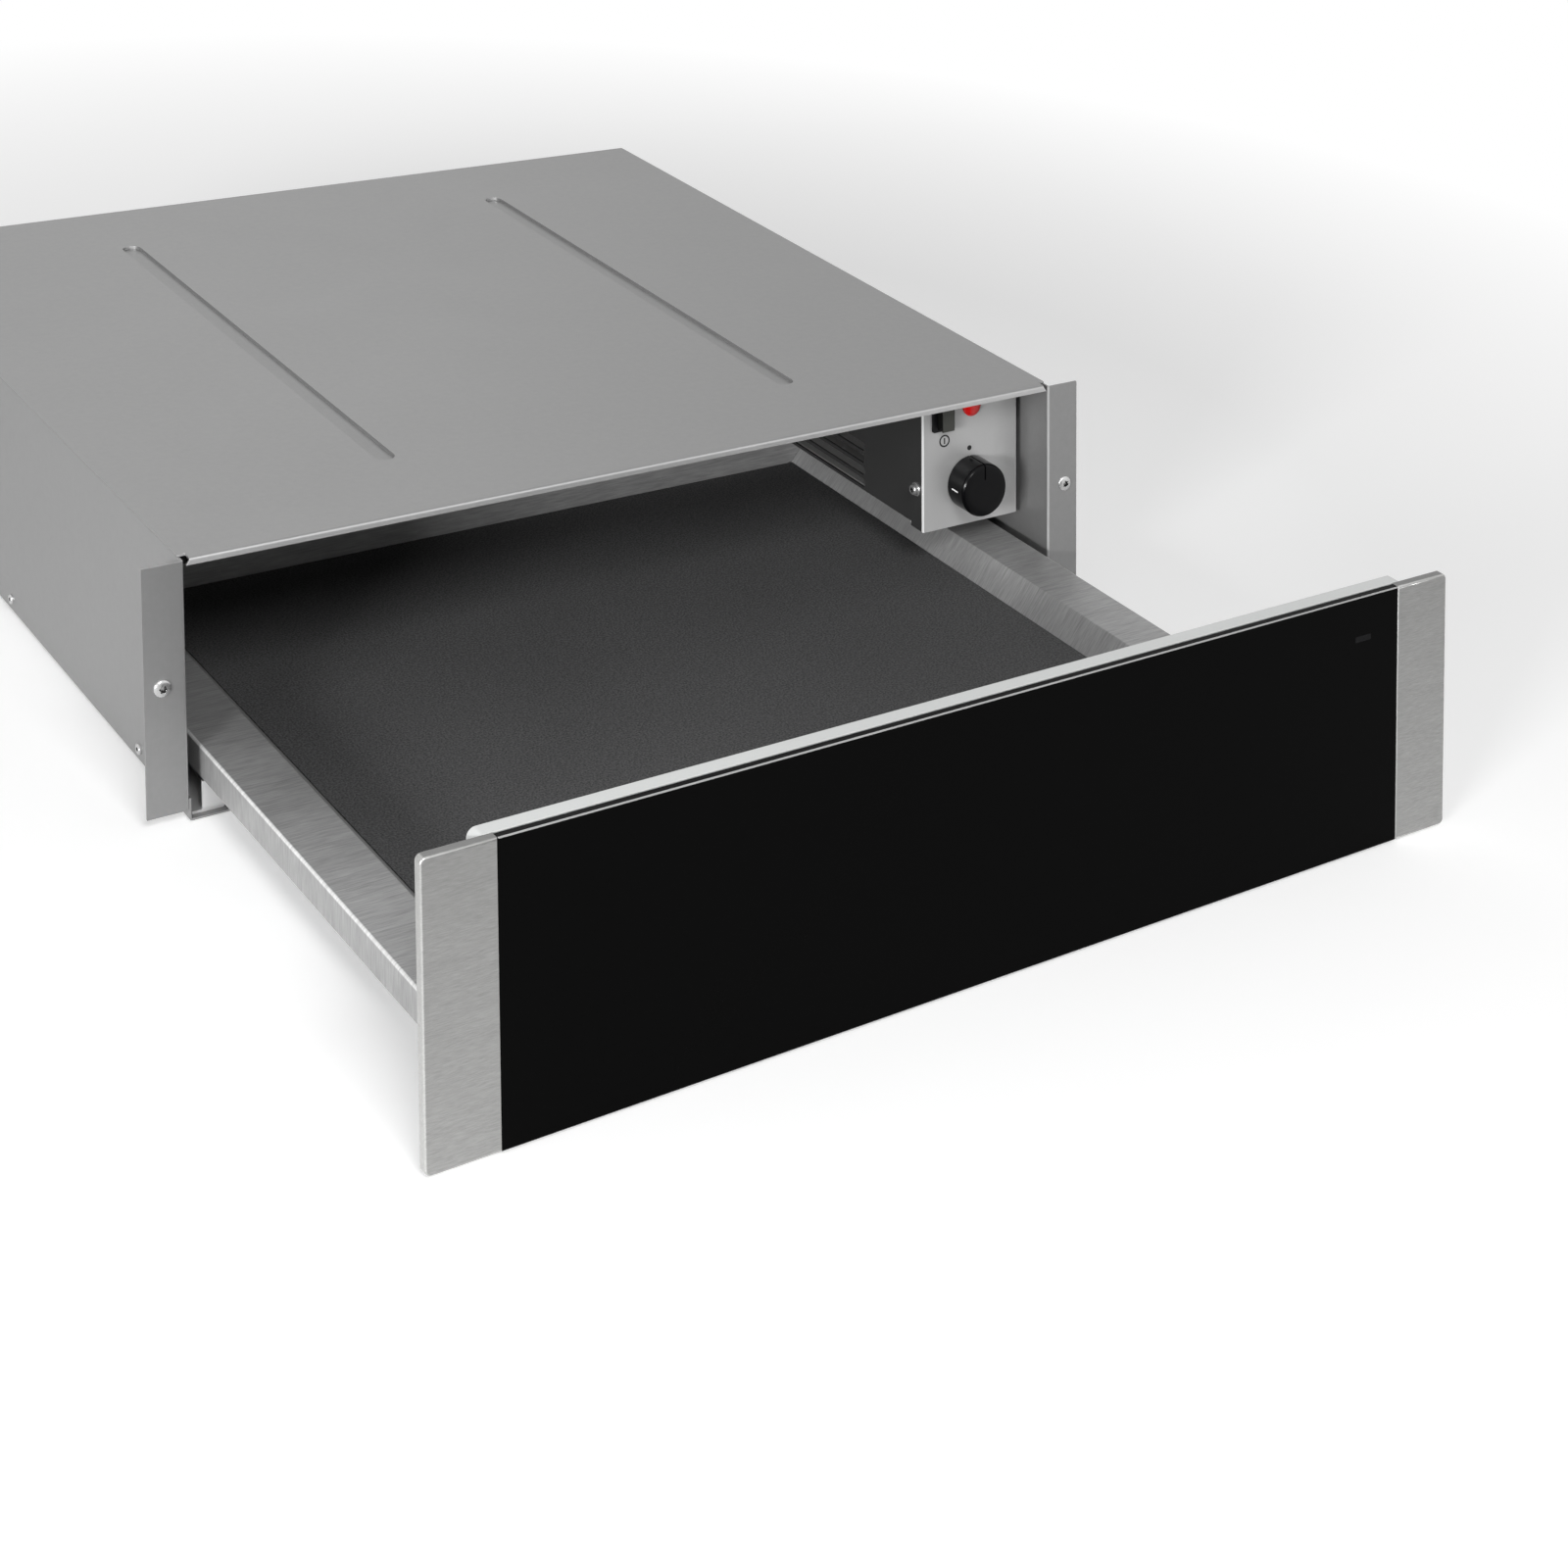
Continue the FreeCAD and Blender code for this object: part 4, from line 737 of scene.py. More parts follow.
class Soft:
    """Finishes of glass, rubber, plastic and sleeve."""

    # Front glass: its upward-facing top arris is painted pale, as a painted highlight.
    GLASS = GlassFinish(
        "black_glass", grey(0.0012), 0.10, index=1.1, gloss_spread=0.03, patch_tone=0.02,
        speckle=Speckle(60.0, 1.0, 0.04, 0.0),
    )
    SEAL = Finish("seal_rubber", grey(0.012), 0.62, speckle=Speckle(900.0, 1.2, 0.15, 0.2))
    # Mat: its edges are painted darker than its top, as painted shade.
    MAT = LitFaceFinish(
        "mat_rubber", (0.073, 0.073, 0.074), 0.72, specular=0.2, speckle=Speckle(900.0, 3.4, 0.42, 0.50), patch_tone=0.04,
        facing=(0.0, 0.0, 1.0), painted_side_shade=0.2,
    )
    CLEAR = ClearFinish("clear_plastic", grey(0.75), 0.12, index=1.49, speckle=Speckle(500.0, 1.0, 0.03, 0.03))
    BLACK = Finish(
        "black_plastic", (0.0022, 0.0022, 0.0026), 0.19, specular=0.16, gloss_spread=0.04,
        speckle=Speckle(2600.0, 1.5, 0.12, 0.06), patch_tone=0.05,
    )
    # Switch plastic: its sides are painted darker than its front-facing faces, as painted shade.
    SWITCH = LitFaceFinish("switch_plastic", (0.040, 0.041, 0.036), 0.38, specular=0.3, speckle=Speckle(2200.0, 1.4, 0.10, 0.10))
    BEZEL = Finish(
        "switch_plastic.bezel", (0.0045, 0.0045, 0.005), 0.34, specular=0.2, speckle=Speckle(2200.0, 1.4, 0.10, 0.10),
        slot="switch_plastic",
    )
    LAMP = Finish(
        "red_plastic", (0.56, 0.005, 0.005), 0.20, specular=0.4, coat=0.3, coat_roughness=0.06, speckle=Speckle(700.0, 1.0, 0.06, 0.03),
        patches=120.0, patch_tone=0.08,
    )
    PALE = Finish("pale_plastic", (0.62, 0.61, 0.57), 0.48, speckle=Speckle(1500.0, 1.3, 0.05, 0.08), dust=0.1)
    SLEEVE = Finish(
        "loom_sleeve", grey(0.035), 0.66, grain=Grain((1500.0, 1500.0, 1500.0), 1.8, 0.35, 0.5),
    )
    PRINT = Finish("print_black", grey(0.004), 0.5, speckle=Speckle(1500.0, 1.0, 0.08, 0.03), slot="black_plastic")
    NUMBER = Finish("print_white", grey(0.80), 0.5, speckle=Speckle(1500.0, 1.0, 0.04, 0.03), slot="pale_plastic")


class Paintshop:
    """Makes each finish's material once and hands it out."""

    def __init__(self) -> None:
        """Prepares the shared effects."""
        self.effects = Effects()
        self.made: dict[str, bpy.types.Material] = {}
        self.by_slot = {
            finish.name: finish for shelf in (Metals, Soft) for finish in vars(shelf).values() if isinstance(finish, Finish)
        }

    def material(self, finish: Finish) -> bpy.types.Material:
        """Gives a finish's material.

        Args:
            finish: the finish wanted.

        Returns:
            Its material.
        """
        if finish.name not in self.made:
            self.made[finish.name] = finish.material(self.effects)
        return self.made[finish.name]

    def paint(self, piece: bpy.types.Object, finish: Finish) -> None:
        """Puts one finish over a whole piece.

        Args:
            piece: the piece to paint.
            finish: its finish.
        """
        material = self.material(finish)
        if not piece.material_slots:
            piece.data.materials.append(material)
        for holder in piece.material_slots:
            holder.material = material


# Pieces


def seam_tree() -> bpy.types.NodeTree:
    """Builds the tree that joins a frame node's triangles and shades it smooth between its edges.

    Returns:
        The geometry tree.
    """
    bench, entry, leave = new_group(
        "GeometryNodeTree", "joined_seams",
        {"Shape": "NodeSocketGeometry", "Reach": "NodeSocketFloat", "Crease": "NodeSocketFloat"},
        {"Shape": "NodeSocketGeometry"},
    )
    bare = bench.add("GeometryNodeRemoveAttribute", {"Geometry": entry["Shape"], "Name": "custom_normal"})
    joined = bench.add("GeometryNodeMergeByDistance", {"Geometry": bare.outputs[0], "Distance": entry["Reach"]})
    round_faces = bench.add(
        "GeometryNodeSetShadeSmooth", {"Geometry": joined.outputs[0], "Shade Smooth": True}, domain="FACE"
    )
    bend = bench.add("GeometryNodeInputMeshEdgeAngle").outputs["Unsigned Angle"]
    sharp = bench.add("FunctionNodeCompare", {0: bend, 1: entry["Crease"]}, data_type="FLOAT", operation="GREATER_THAN")
    edged = bench.add(
        "GeometryNodeSetShadeSmooth",
        {"Geometry": round_faces.outputs[0], "Selection": sharp.outputs[0], "Shade Smooth": False}, domain="EDGE",
    )
    bench.feed(leave.inputs["Shape"], edged.outputs[0])
    return bench.tree


def front_edge_tree() -> bpy.types.NodeTree:
    """Builds the tree that marks the edges round a front face for a wide rounding.

    Returns:
        The geometry tree.
    """
    bench, entry, leave = new_group(
        "GeometryNodeTree", "front_edges",
        {
            "Shape": "NodeSocketGeometry", "Level": "NodeSocketFloat", "Inner": "NodeSocketFloat",
            "Inner share": "NodeSocketFloat",
        },
        {"Shape": "NodeSocketGeometry"},
    )
    across, ahead, _ = bench.add("ShaderNodeSeparateXYZ", {0: bench.add("GeometryNodeInputPosition").outputs[0]}).outputs
    bend = bench.add("GeometryNodeInputMeshEdgeAngle").outputs["Unsigned Angle"]
    sharp = bench.maths("GREATER_THAN", bend, math.radians(30.0))
    marked = bench.maths("MULTIPLY", bench.maths("LESS_THAN", ahead, entry["Level"]), sharp)
    inside = bench.maths("LESS_THAN", bench.maths("ABSOLUTE", across), entry["Inner"])
    share = bench.add("ShaderNodeMix", {0: inside, 2: 1.0, 3: entry["Inner share"]}).outputs[0]
    stored = bench.add(
        "GeometryNodeStoreNamedAttribute",
        {"Geometry": entry["Shape"], "Name": "bevel_weight_edge", "Value": bench.maths("MULTIPLY", marked, share)},
        data_type="FLOAT", domain="EDGE",
    )
    bench.feed(leave.inputs["Shape"], stored.outputs[0])
    return bench.tree


def socket_names(tree: bpy.types.NodeTree) -> dict[str, str]:
    """Finds a geometry tree's input identifiers.

    Args:
        tree: the tree.

    Returns:
        Identifier by input name.
    """
    return {
        item.name: item.identifier for item in tree.interface.items_tree
        if item.item_type == "SOCKET" and item.in_out == "INPUT"
    }


@dataclass(frozen=True)
class FrontRounding:
    """A wide rounding of the edges round a front face, in millimetres."""

    width: float
    level: float
    inner: float
    inner_share: float
    tree: bpy.types.NodeTree

    def mark(self, node: bpy.types.Object) -> None:
        """Marks and rounds the edges of one node.

        Args:
            node: the node, already joined.
        """
        marker = node.modifiers.new("front_edges", "NODES")
        marker.node_group = self.tree
        names = socket_names(self.tree)
        marker[names["Level"]] = self.level * MM
        marker[names["Inner"]] = self.inner * MM
        marker[names["Inner share"]] = self.inner_share
        wide = node.modifiers.new("front_rounding", "BEVEL")
        wide.limit_method = "WEIGHT"
        wide.width = self.width * MM
        wide.segments = 4
        wide.harden_normals = True


class Workshop:
    """Joins, rounds and dresses the frame's nodes, and makes the pieces added to them."""

    def __init__(self) -> None:
        """Prepares the paint and the seam tree."""
        self.paint = Paintshop()
        self.seams = seam_tree()

    def refine(
        self, name: str, edge: float = 0.15, crease: float = 30.0, finish: Finish | None = None,
        front: "FrontRounding | None" = None,
    ) -> None:
        """Rounds a frame node's edges and gives it its finish.

        Args:
            name: the node.
            edge: width of the rounded edges in millimetres, 0 for none.
            crease: angle in degrees past which an edge is sharp.
            finish: its finish, or None for that of its slot.
            front: a wider rounding of the edges round its front face, or None.
        """
        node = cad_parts[name]
        slot_name = node.material_slots[0].material.name.split(".")[0]
        joiner = node.modifiers.new("seams", "NODES")
        joiner.node_group = self.seams
        names = socket_names(self.seams)
        joiner[names["Reach"]] = 0.01 * MM
        joiner[names["Crease"]] = math.radians(crease)
        if edge:
            flat = node.modifiers.new("flat_faces", "DECIMATE")
            flat.decimate_type = "DISSOLVE"
            flat.angle_limit = math.radians(0.5)
            flat.delimit = {"SHARP"}
            if front:
                front.mark(node)
            rounded = node.modifiers.new("edges", "BEVEL")
            rounded.limit_method = "ANGLE"
            rounded.angle_limit = math.radians(crease)
            rounded.width = edge * MM
            rounded.segments = 2
            rounded.harden_normals = True
        self.paint.paint(node, finish or self.paint.by_slot[slot_name])
        LOG.info("dressed %s", name)

    def piece(
        self, name: str, mesh: bpy.types.Mesh, finish: Finish, body: str, stands_for: tuple[str, ...] = ()
    ) -> bpy.types.Object:
        """Puts a new piece on a body.

        Args:
            name: the piece's name.
            mesh: its mesh, already in place.
            finish: its finish.
            body: the body it rides on.
            stands_for: the frame nodes it replaces.

        Returns:
            The piece.
        """
        made = bpy.data.objects.new(name, mesh)
        bpy.context.scene.collection.objects.link(made)
        self.paint.paint(made, finish)
        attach(made, body)
        if stands_for:
            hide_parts(*stands_for)
        LOG.info("made %s: %d faces", name, len(mesh.polygons))
        return made

    def grow(self, name: str, tree: bpy.types.NodeTree, values: dict) -> bpy.types.Mesh:
        """Runs a geometry tree and keeps its result as a plain mesh.

        Args:
            name: the mesh's name.
            tree: the tree to run.
            values: its inputs by name.

        Returns:
            The mesh.
        """
        holder = bpy.data.objects.new("holder", bpy.data.meshes.new("holder"))
        bpy.context.scene.collection.objects.link(holder)
        runner = holder.modifiers.new("grow", "NODES")
        runner.node_group = tree
        names = socket_names(tree)
        for label, value in values.items():
            runner[names[label]] = value
        mesh = self.settled(holder)
        mesh.name = name
        bpy.data.objects.remove(holder)
        return mesh

    def settled(self, holder: bpy.types.Object) -> bpy.types.Mesh:
        """Turns an object with modifiers into a plain mesh.

        Args:
            holder: the object.

        Returns:
            Its evaluated mesh.
        """
        bpy.context.view_layer.update()
        graph = bpy.context.evaluated_depsgraph_get()
        return bpy.data.meshes.new_from_object(holder.evaluated_get(graph), depsgraph=graph)


def finished_mesh(shape: bmesh.types.BMesh, name: str, crease: float = 32.0) -> bpy.types.Mesh:
    """Closes a bmesh, points its faces outwards and shades it smooth between sharp edges.

    Args:
        shape: the bmesh, freed here.
        name: the mesh's name.
        crease: angle in degrees past which an edge is sharp.

    Returns:
        The mesh.
    """
    bmesh.ops.remove_doubles(shape, verts=shape.verts, dist=1e-7)
    bmesh.ops.recalc_face_normals(shape, faces=shape.faces)
    mesh = bpy.data.meshes.new(name)
    shape.to_mesh(mesh)
    shape.free()
    smooth(mesh, crease)
    return mesh


def smooth(mesh: bpy.types.Mesh, crease: float) -> None:
    """Shades a mesh smooth but for its sharp edges.

    Args:
        mesh: the mesh.
        crease: angle in degrees past which an edge is sharp.
    """
    mesh.polygons.foreach_set("use_smooth", [True] * len(mesh.polygons))
    mesh.set_sharp_from_angle(angle=math.radians(crease))


def lathe(profile: list[tuple[float, float]], centre: Vector, steps: int) -> bmesh.types.BMesh:
    """Turns a profile about an axis along Y.

    Args:
        profile: pairs of radius and depth along Y, in millimetres, from pole to pole or closed on itself.
        centre: where the axis is, in metres.
        steps: corners of each ring.

    Returns:
        The turned shape.
    """
    shape = bmesh.new()
    rings = []
    for radius, depth in profile:
        if radius == 0:
            rings.append([shape.verts.new(centre + in_metres(0, depth, 0))] * steps)
            continue
        turn = [2 * math.pi * i / steps for i in range(steps)]
        rings.append([
            shape.verts.new(centre + in_metres(radius * math.sin(a), depth, radius * math.cos(a))) for a in turn
        ])
    for first, second in zip(rings, rings[1:]):
        for i in range(steps):
            corners = (first[i], first[(i + 1) % steps], second[(i + 1) % steps], second[i])
            shape.faces.new(list(dict.fromkeys(corners)))
    return shape


# Screws


class HeadShape(Enum):
    """Form of a screw's head: how its height falls from the middle to the rim."""

    PAN = 5.0
    OVAL = 2.0


@dataclass(frozen=True)
class Screw:
    """A screw head with a six-lobed recess, in millimetres, its seat at height 0 and its head along +Z."""

    radius: float
    height: float
    recess: float
    depth: float
    shape: HeadShape
    flange: float = 0.0
    flange_height: float = 0.0
    steps: int = 48
    lobe: float = 0.13

    @property
    def collar(self) -> float:
        """Gives the height of the head's lower rim, in millimetres."""
        return self.flange_height + 0.25

    def level(self, radius: float) -> float:
        """Gives the head's height at a radius, in millimetres."""
        return self.height * (1 - (radius / self.radius) ** self.shape.value) ** (1 / self.shape.value) + self.collar

    def template(self, name: str) -> bpy.types.Object:
        """Builds the head as an object that other trees repeat.

        Args:
            name: the object's name.

        Returns:
            The template, not linked to a scene.
        """
        star = [self.recess * (1 - self.lobe + self.lobe * math.cos(6 * a)) for a in self.turns()]
        even = [1.0] * self.steps
        top = self.level(self.recess)
        rings = [([0.9 * r for r in star], top - self.depth), (star, top - 0.06), ([1.04 * r for r in star], top)]
        first = self.recess * 1.06
        for i in range(1, 9):
            share = i / 8
            radius = first + (self.radius * 0.995 - first) * share ** 0.75
            rings.append(([radius * one for one in even], self.level(radius)))
        rings.append(([self.radius * one for one in even], self.collar - 0.05))
        if self.flange:
            rings.append(([(self.flange - 0.2) * one for one in even], self.collar - 0.08))
            rings.append(([self.flange * one for one in even], self.collar - 0.28))
        edge = max(self.radius, self.flange)
        rings.append(([edge * one for one in even], -0.1))
        shape = bmesh.new()
        bottom = shape.verts.new((0, 0, (top - self.depth * 1.25) * MM))
        seat = shape.verts.new((0, 0, -0.1 * MM))
        loops = [
            [
                shape.verts.new((r * math.cos(a) * MM, r * math.sin(a) * MM, level * MM))
                for r, a in zip(radii, self.turns())
            ]
            for radii, level in rings
        ]
        for i in range(self.steps):
            j = (i + 1) % self.steps
            shape.faces.new((bottom, loops[0][i], loops[0][j]))
            shape.faces.new((seat, loops[-1][j], loops[-1][i]))
            for low, high in zip(loops, loops[1:]):
                shape.faces.new((low[i], high[i], high[j], low[j]))
        mesh = finished_mesh(shape, name, 38.0)
        # Marks the recess, which the screw finish paints dark as painted shade.
        inside = mesh.attributes.new("recess", "FLOAT", "POINT")
        floor = (top - 0.03) * MM
        for vertex, mark in zip(mesh.vertices, inside.data):
            near = vertex.co.xy.length < self.recess * 1.02 * MM
            mark.value = float(near and 0 < vertex.co.z < floor)
        return bpy.data.objects.new(name, mesh)

    def turns(self) -> list[float]:
        """Gives the angles of a ring's corners."""
        return [2 * math.pi * i / self.steps for i in range(self.steps)]


def screw_row_tree() -> bpy.types.NodeTree:
    """Builds the tree that sets a row of screws, each turned by its own seeded angle.

    Returns:
        The geometry tree.
    """
    bench, entry, leave = new_group(
        "GeometryNodeTree", "screw_row",
        {
            "Screw": "NodeSocketObject", "Count": "NodeSocketInt", "Start": "NodeSocketVector",
            "Step": "NodeSocketVector", "Facing": "NodeSocketVector", "Seed": "NodeSocketInt",
            "Finish": "NodeSocketMaterial",
        },
        {"Shape": "NodeSocketGeometry"},
    )
    row = bench.add("GeometryNodeMeshLine", {"Count": entry["Count"], "Start Location": entry["Start"], "Offset": entry["Step"]})
    head = bench.add("GeometryNodeObjectInfo", {"Object": entry["Screw"]})
    facing = bench.add("FunctionNodeEulerToRotation", {0: entry["Facing"]})
    placed = bench.add(
        "GeometryNodeInstanceOnPoints",
        {"Points": row.outputs[0], "Instance": head.outputs["Geometry"], "Rotation": facing.outputs[0]},
    )
    angle = bench.add("FunctionNodeRandomValue", {2: 0.0, 3: math.pi / 3, "Seed": entry["Seed"]}, data_type="FLOAT")
    spin = bench.add("ShaderNodeCombineXYZ", {2: angle.outputs[1]})
    turned = bench.add("GeometryNodeRotateInstances", {"Instances": placed.outputs[0], "Rotation": spin.outputs[0]})
    real = bench.add("GeometryNodeRealizeInstances", {0: turned.outputs[0]})
    dressed = bench.add("GeometryNodeSetMaterial", {"Geometry": real.outputs[0], "Material": entry["Finish"]})
    bench.feed(leave.inputs["Shape"], dressed.outputs[0])
    return bench.tree


class Facing(Enum):
    """Way a screw's head points, as the turn that brings +Z there."""

    FRONT = (math.pi / 2, 0.0, 0.0)
    BACK = (-math.pi / 2, 0.0, 0.0)
    LEFT = (0.0, -math.pi / 2, 0.0)
    RIGHT = (0.0, math.pi / 2, 0.0)
    UP = (0.0, 0.0, 0.0)
    DOWN = (math.pi, 0.0, 0.0)


@dataclass(frozen=True)
class ScrewRow:
    """One row of like screws on a body, in millimetres."""

    name: str
    screw: Screw
    body: str
    start: Point
    facing: Facing
    count: int = 1
    step: Point = (0.0, 0.0, 0.0)
    seed: int = 1


@dataclass
class Screws:
    """All visible screws of the drawer."""

    post: Screw = Screw(4.65, 1.6, 2.2, 1.6, HeadShape.OVAL, lobe=0.16)
    pan: Screw = Screw(3.3, 2.7, 1.7, 1.4, HeadShape.PAN, flange=4.2, flange_height=0.9)
    small: Screw = Screw(2.8, 1.2, 1.3, 0.9, HeadShape.PAN)
    rows: list[ScrewRow] = field(default_factory=list)

    def build(self, shop: Workshop) -> None:
        """Sets every row.

        Args:
            shop: the workshop.
        """
        tree = screw_row_tree()
        finish = shop.paint.material(Metals.SCREW)
        templates = {
            screw: screw.template(name)
            for name, screw in (("post_screw", self.post), ("pan_screw", self.pan), ("small_screw", self.small))
        }
        for row in self.listed():
            mesh = shop.grow(row.name, tree, {
                "Screw": templates[row.screw], "Count": row.count, "Start": in_metres(*row.start),
                "Step": in_metres(*row.step), "Facing": row.facing.value, "Seed": row.seed, "Finish": finish,
            })
            shop.piece(row.name, mesh, Metals.SCREW, row.body)
        for template in templates.values():
            bpy.data.objects.remove(template)

    def listed(self) -> list[ScrewRow]:
        """Lists the rows.

        Returns:
            Every row of screws on the drawer.
        """
        rows = [
            ScrewRow("post_screws", self.post, "housing", (-286.35, -266, 73.4), Facing.FRONT, 2, (572.7, 0, 0), 3),
            ScrewRow("cover_screw", self.pan, "housing", (198, -233.1, 73.8), Facing.LEFT, seed=5),
            ScrewRow("front_screws_low", self.small, "drawer", (-180, -571.2, 50), Facing.BACK, 3, (180, 0, 0), 7),
            ScrewRow("front_screws_high", self.small, "drawer", (-180, -571.2, 84), Facing.BACK, 3, (180, 0, 0), 8),
        ]
        for word, side, facing in (("left", -1, Facing.LEFT), ("right", 1, Facing.RIGHT)):
            rows.append(ScrewRow(
                f"case_screws_{word}", self.small, "housing", (side * 274.9, -200, 9.2), facing, 3, (0, 200, 0), 11,
            ))
        return rows


# Sub-assemblies


@dataclass
class Housing:
    """The sheet housing: base, sides, back and top, with the cable gland and the terminal block."""

    sheets: tuple[str, ...] = ("base_plate", "rear_panel")
    sides: tuple[str, ...] = ("side_panel_left", "side_panel_right")
    edge: float = 0.25

    def build(self, shop: Workshop) -> None:
        """Dresses the sheets.

        Args:
            shop: the workshop.
        """
        for name in self.sheets:
            shop.refine(name, self.edge)
        for name in self.sides:
            shop.refine(name, self.edge, finish=Metals.POST)
        shop.refine("top_plate", self.edge, finish=Metals.TOP)
        for name in ("cable_gland", "terminal_block"):
            shop.refine(name, 0.3)


def ball_rows_tree() -> bpy.types.NodeTree:
    """Builds the tree of two rows of balls that a cage holds.

    Returns:
        The geometry tree.
    """
    bench, entry, leave = new_group(
        "GeometryNodeTree", "ball_rows",
        {
            "Radius": "NodeSocketFloat", "Count": "NodeSocketInt", "Start": "NodeSocketVector",
            "Pitch": "NodeSocketVector", "Row distance": "NodeSocketVector", "Finish": "NodeSocketMaterial",
        },
        {"Shape": "NodeSocketGeometry"},
    )
    low = bench.add("GeometryNodeMeshLine", {"Count": entry["Count"], "Start Location": entry["Start"], "Offset": entry["Pitch"]})
    high = bench.add("GeometryNodeTransform", {"Geometry": low.outputs[0], "Translation": entry["Row distance"]})
    both = bench.add("GeometryNodeJoinGeometry", {0: low.outputs[0]})
    bench.feed(both.inputs[0], high.outputs[0])
    ball = bench.add("GeometryNodeMeshUVSphere", {"Segments": 32, "Rings": 16, "Radius": entry["Radius"]})
    placed = bench.add("GeometryNodeInstanceOnPoints", {"Points": both.outputs[0], "Instance": ball.outputs[0]})
    real = bench.add("GeometryNodeRealizeInstances", {0: placed.outputs[0]})
    glossy = bench.add("GeometryNodeSetShadeSmooth", {"Geometry": real.outputs[0], "Shade Smooth": True})
    dressed = bench.add("GeometryNodeSetMaterial", {"Geometry": glossy.outputs[0], "Material": entry["Finish"]})
    bench.feed(leave.inputs["Shape"], dressed.outputs[0])
    return bench.tree


@dataclass
class Slides:
    """The two ball slides with their cages, balls and brackets."""

    ball_radius: float = 1.48
    balls_in_row: int = 4
    pitch: float = 57.5
    outer_track: tuple[float, float, float] = (247.0, 7.2, 28.8)
    inner_track: tuple[float, float, float] = (245.5, 11.2, 24.8)
    outer_start: float = -221.35
    inner_start: float = -372.85
    edge: float = 0.12

    def build(self, shop: Workshop) -> None:
        """Dresses the rails and cages and sets the balls.

        Args:
            shop: the workshop.
        """
        tree = ball_rows_tree()
        for word, side in (("left", -1), ("right", 1)):
            for part in ("slide_outer", "slide_middle", "slide_inner", "ball_cage_outer", "ball_cage_inner"):
                shop.refine(f"{part}_{word}", self.edge)
            for part in ("rail_bracket", "runner_bracket"):
                shop.refine(f"{part}_{word}", 0.2)
            self.balls(shop, tree, f"outer_{word}", side, self.outer_track, self.outer_start)
            self.balls(shop, tree, f"inner_{word}", side, self.inner_track, self.inner_start)

    def balls(
        self, shop: Workshop, tree: bpy.types.NodeTree, where: str, side: int, track: Point, start: float
    ) -> None:
        """Sets one cage's balls.

        Args:
            shop: the workshop.
            tree: the ball tree.
            where: which cage, as in its node's name.
            side: -1 left, 1 right.
            track: distance from the middle, lower and upper height of the rows.
            start: where the cage starts.
        """
        across, low, high = track
        mesh = shop.grow(f"steel_balls_{where}", tree, {
            "Radius": self.ball_radius * MM, "Count": self.balls_in_row,
            "Start": in_metres(side * across, start + self.pitch / 2, low), "Pitch": in_metres(0, self.pitch, 0),
            "Row distance": in_metres(0, 0, high - low), "Finish": shop.paint.material(Metals.BALL),
        })
        shop.piece(f"steel_balls_{where}", mesh, Metals.BALL, f"ball_cage_{where}", (f"balls_{where}",))


@dataclass
class TrayAssembly:
    """The folded tray with its rear wall, mat and latch striker."""

    sheet_edge: float = 0.55
    mat_edge: float = 0.5

    def build(self, shop: Workshop) -> None:
        """Dresses the tray.

        Args:
            shop: the workshop.
        """
        shop.refine("tray", self.sheet_edge)
        shop.refine("tray_rear_wall", self.sheet_edge, finish=Metals.TRAY_WALL)
        shop.refine("anti_slip_mat", self.mat_edge)
        shop.refine("latch_striker", 0.2)
        for name in ("latch_body", "latch_plunger"):
            shop.refine(name, 0.3)


@dataclass
class Front:
    """The front: black glass between two metal end strips, bonded to a folded carrier."""

    strip_edge: float = 0.25
    strip_front_edge: float = 1.2
    face_y: float = -585.6
    strip_inner: float = 262.4
    carrier_edge: float = 0.3

    def build(self, shop: Workshop) -> None:
        """Dresses the front.

        Args:
            shop: the workshop.
        """
        shop.refine("front_glass", 0.08)
        shop.refine("glass_seal", 0.4)
        shop.refine("front_carrier", self.carrier_edge)
        shop.refine("light_guide", 0.2)
        rounding = FrontRounding(self.strip_front_edge, self.face_y + 0.05, self.strip_inner + 0.05, 0.35, front_edge_tree())
        for word in ("left", "right"):
            shop.refine(f"end_strip_{word}", self.strip_edge, front=rounding)
            shop.refine(f"strip_bracket_{word}", 0.15)


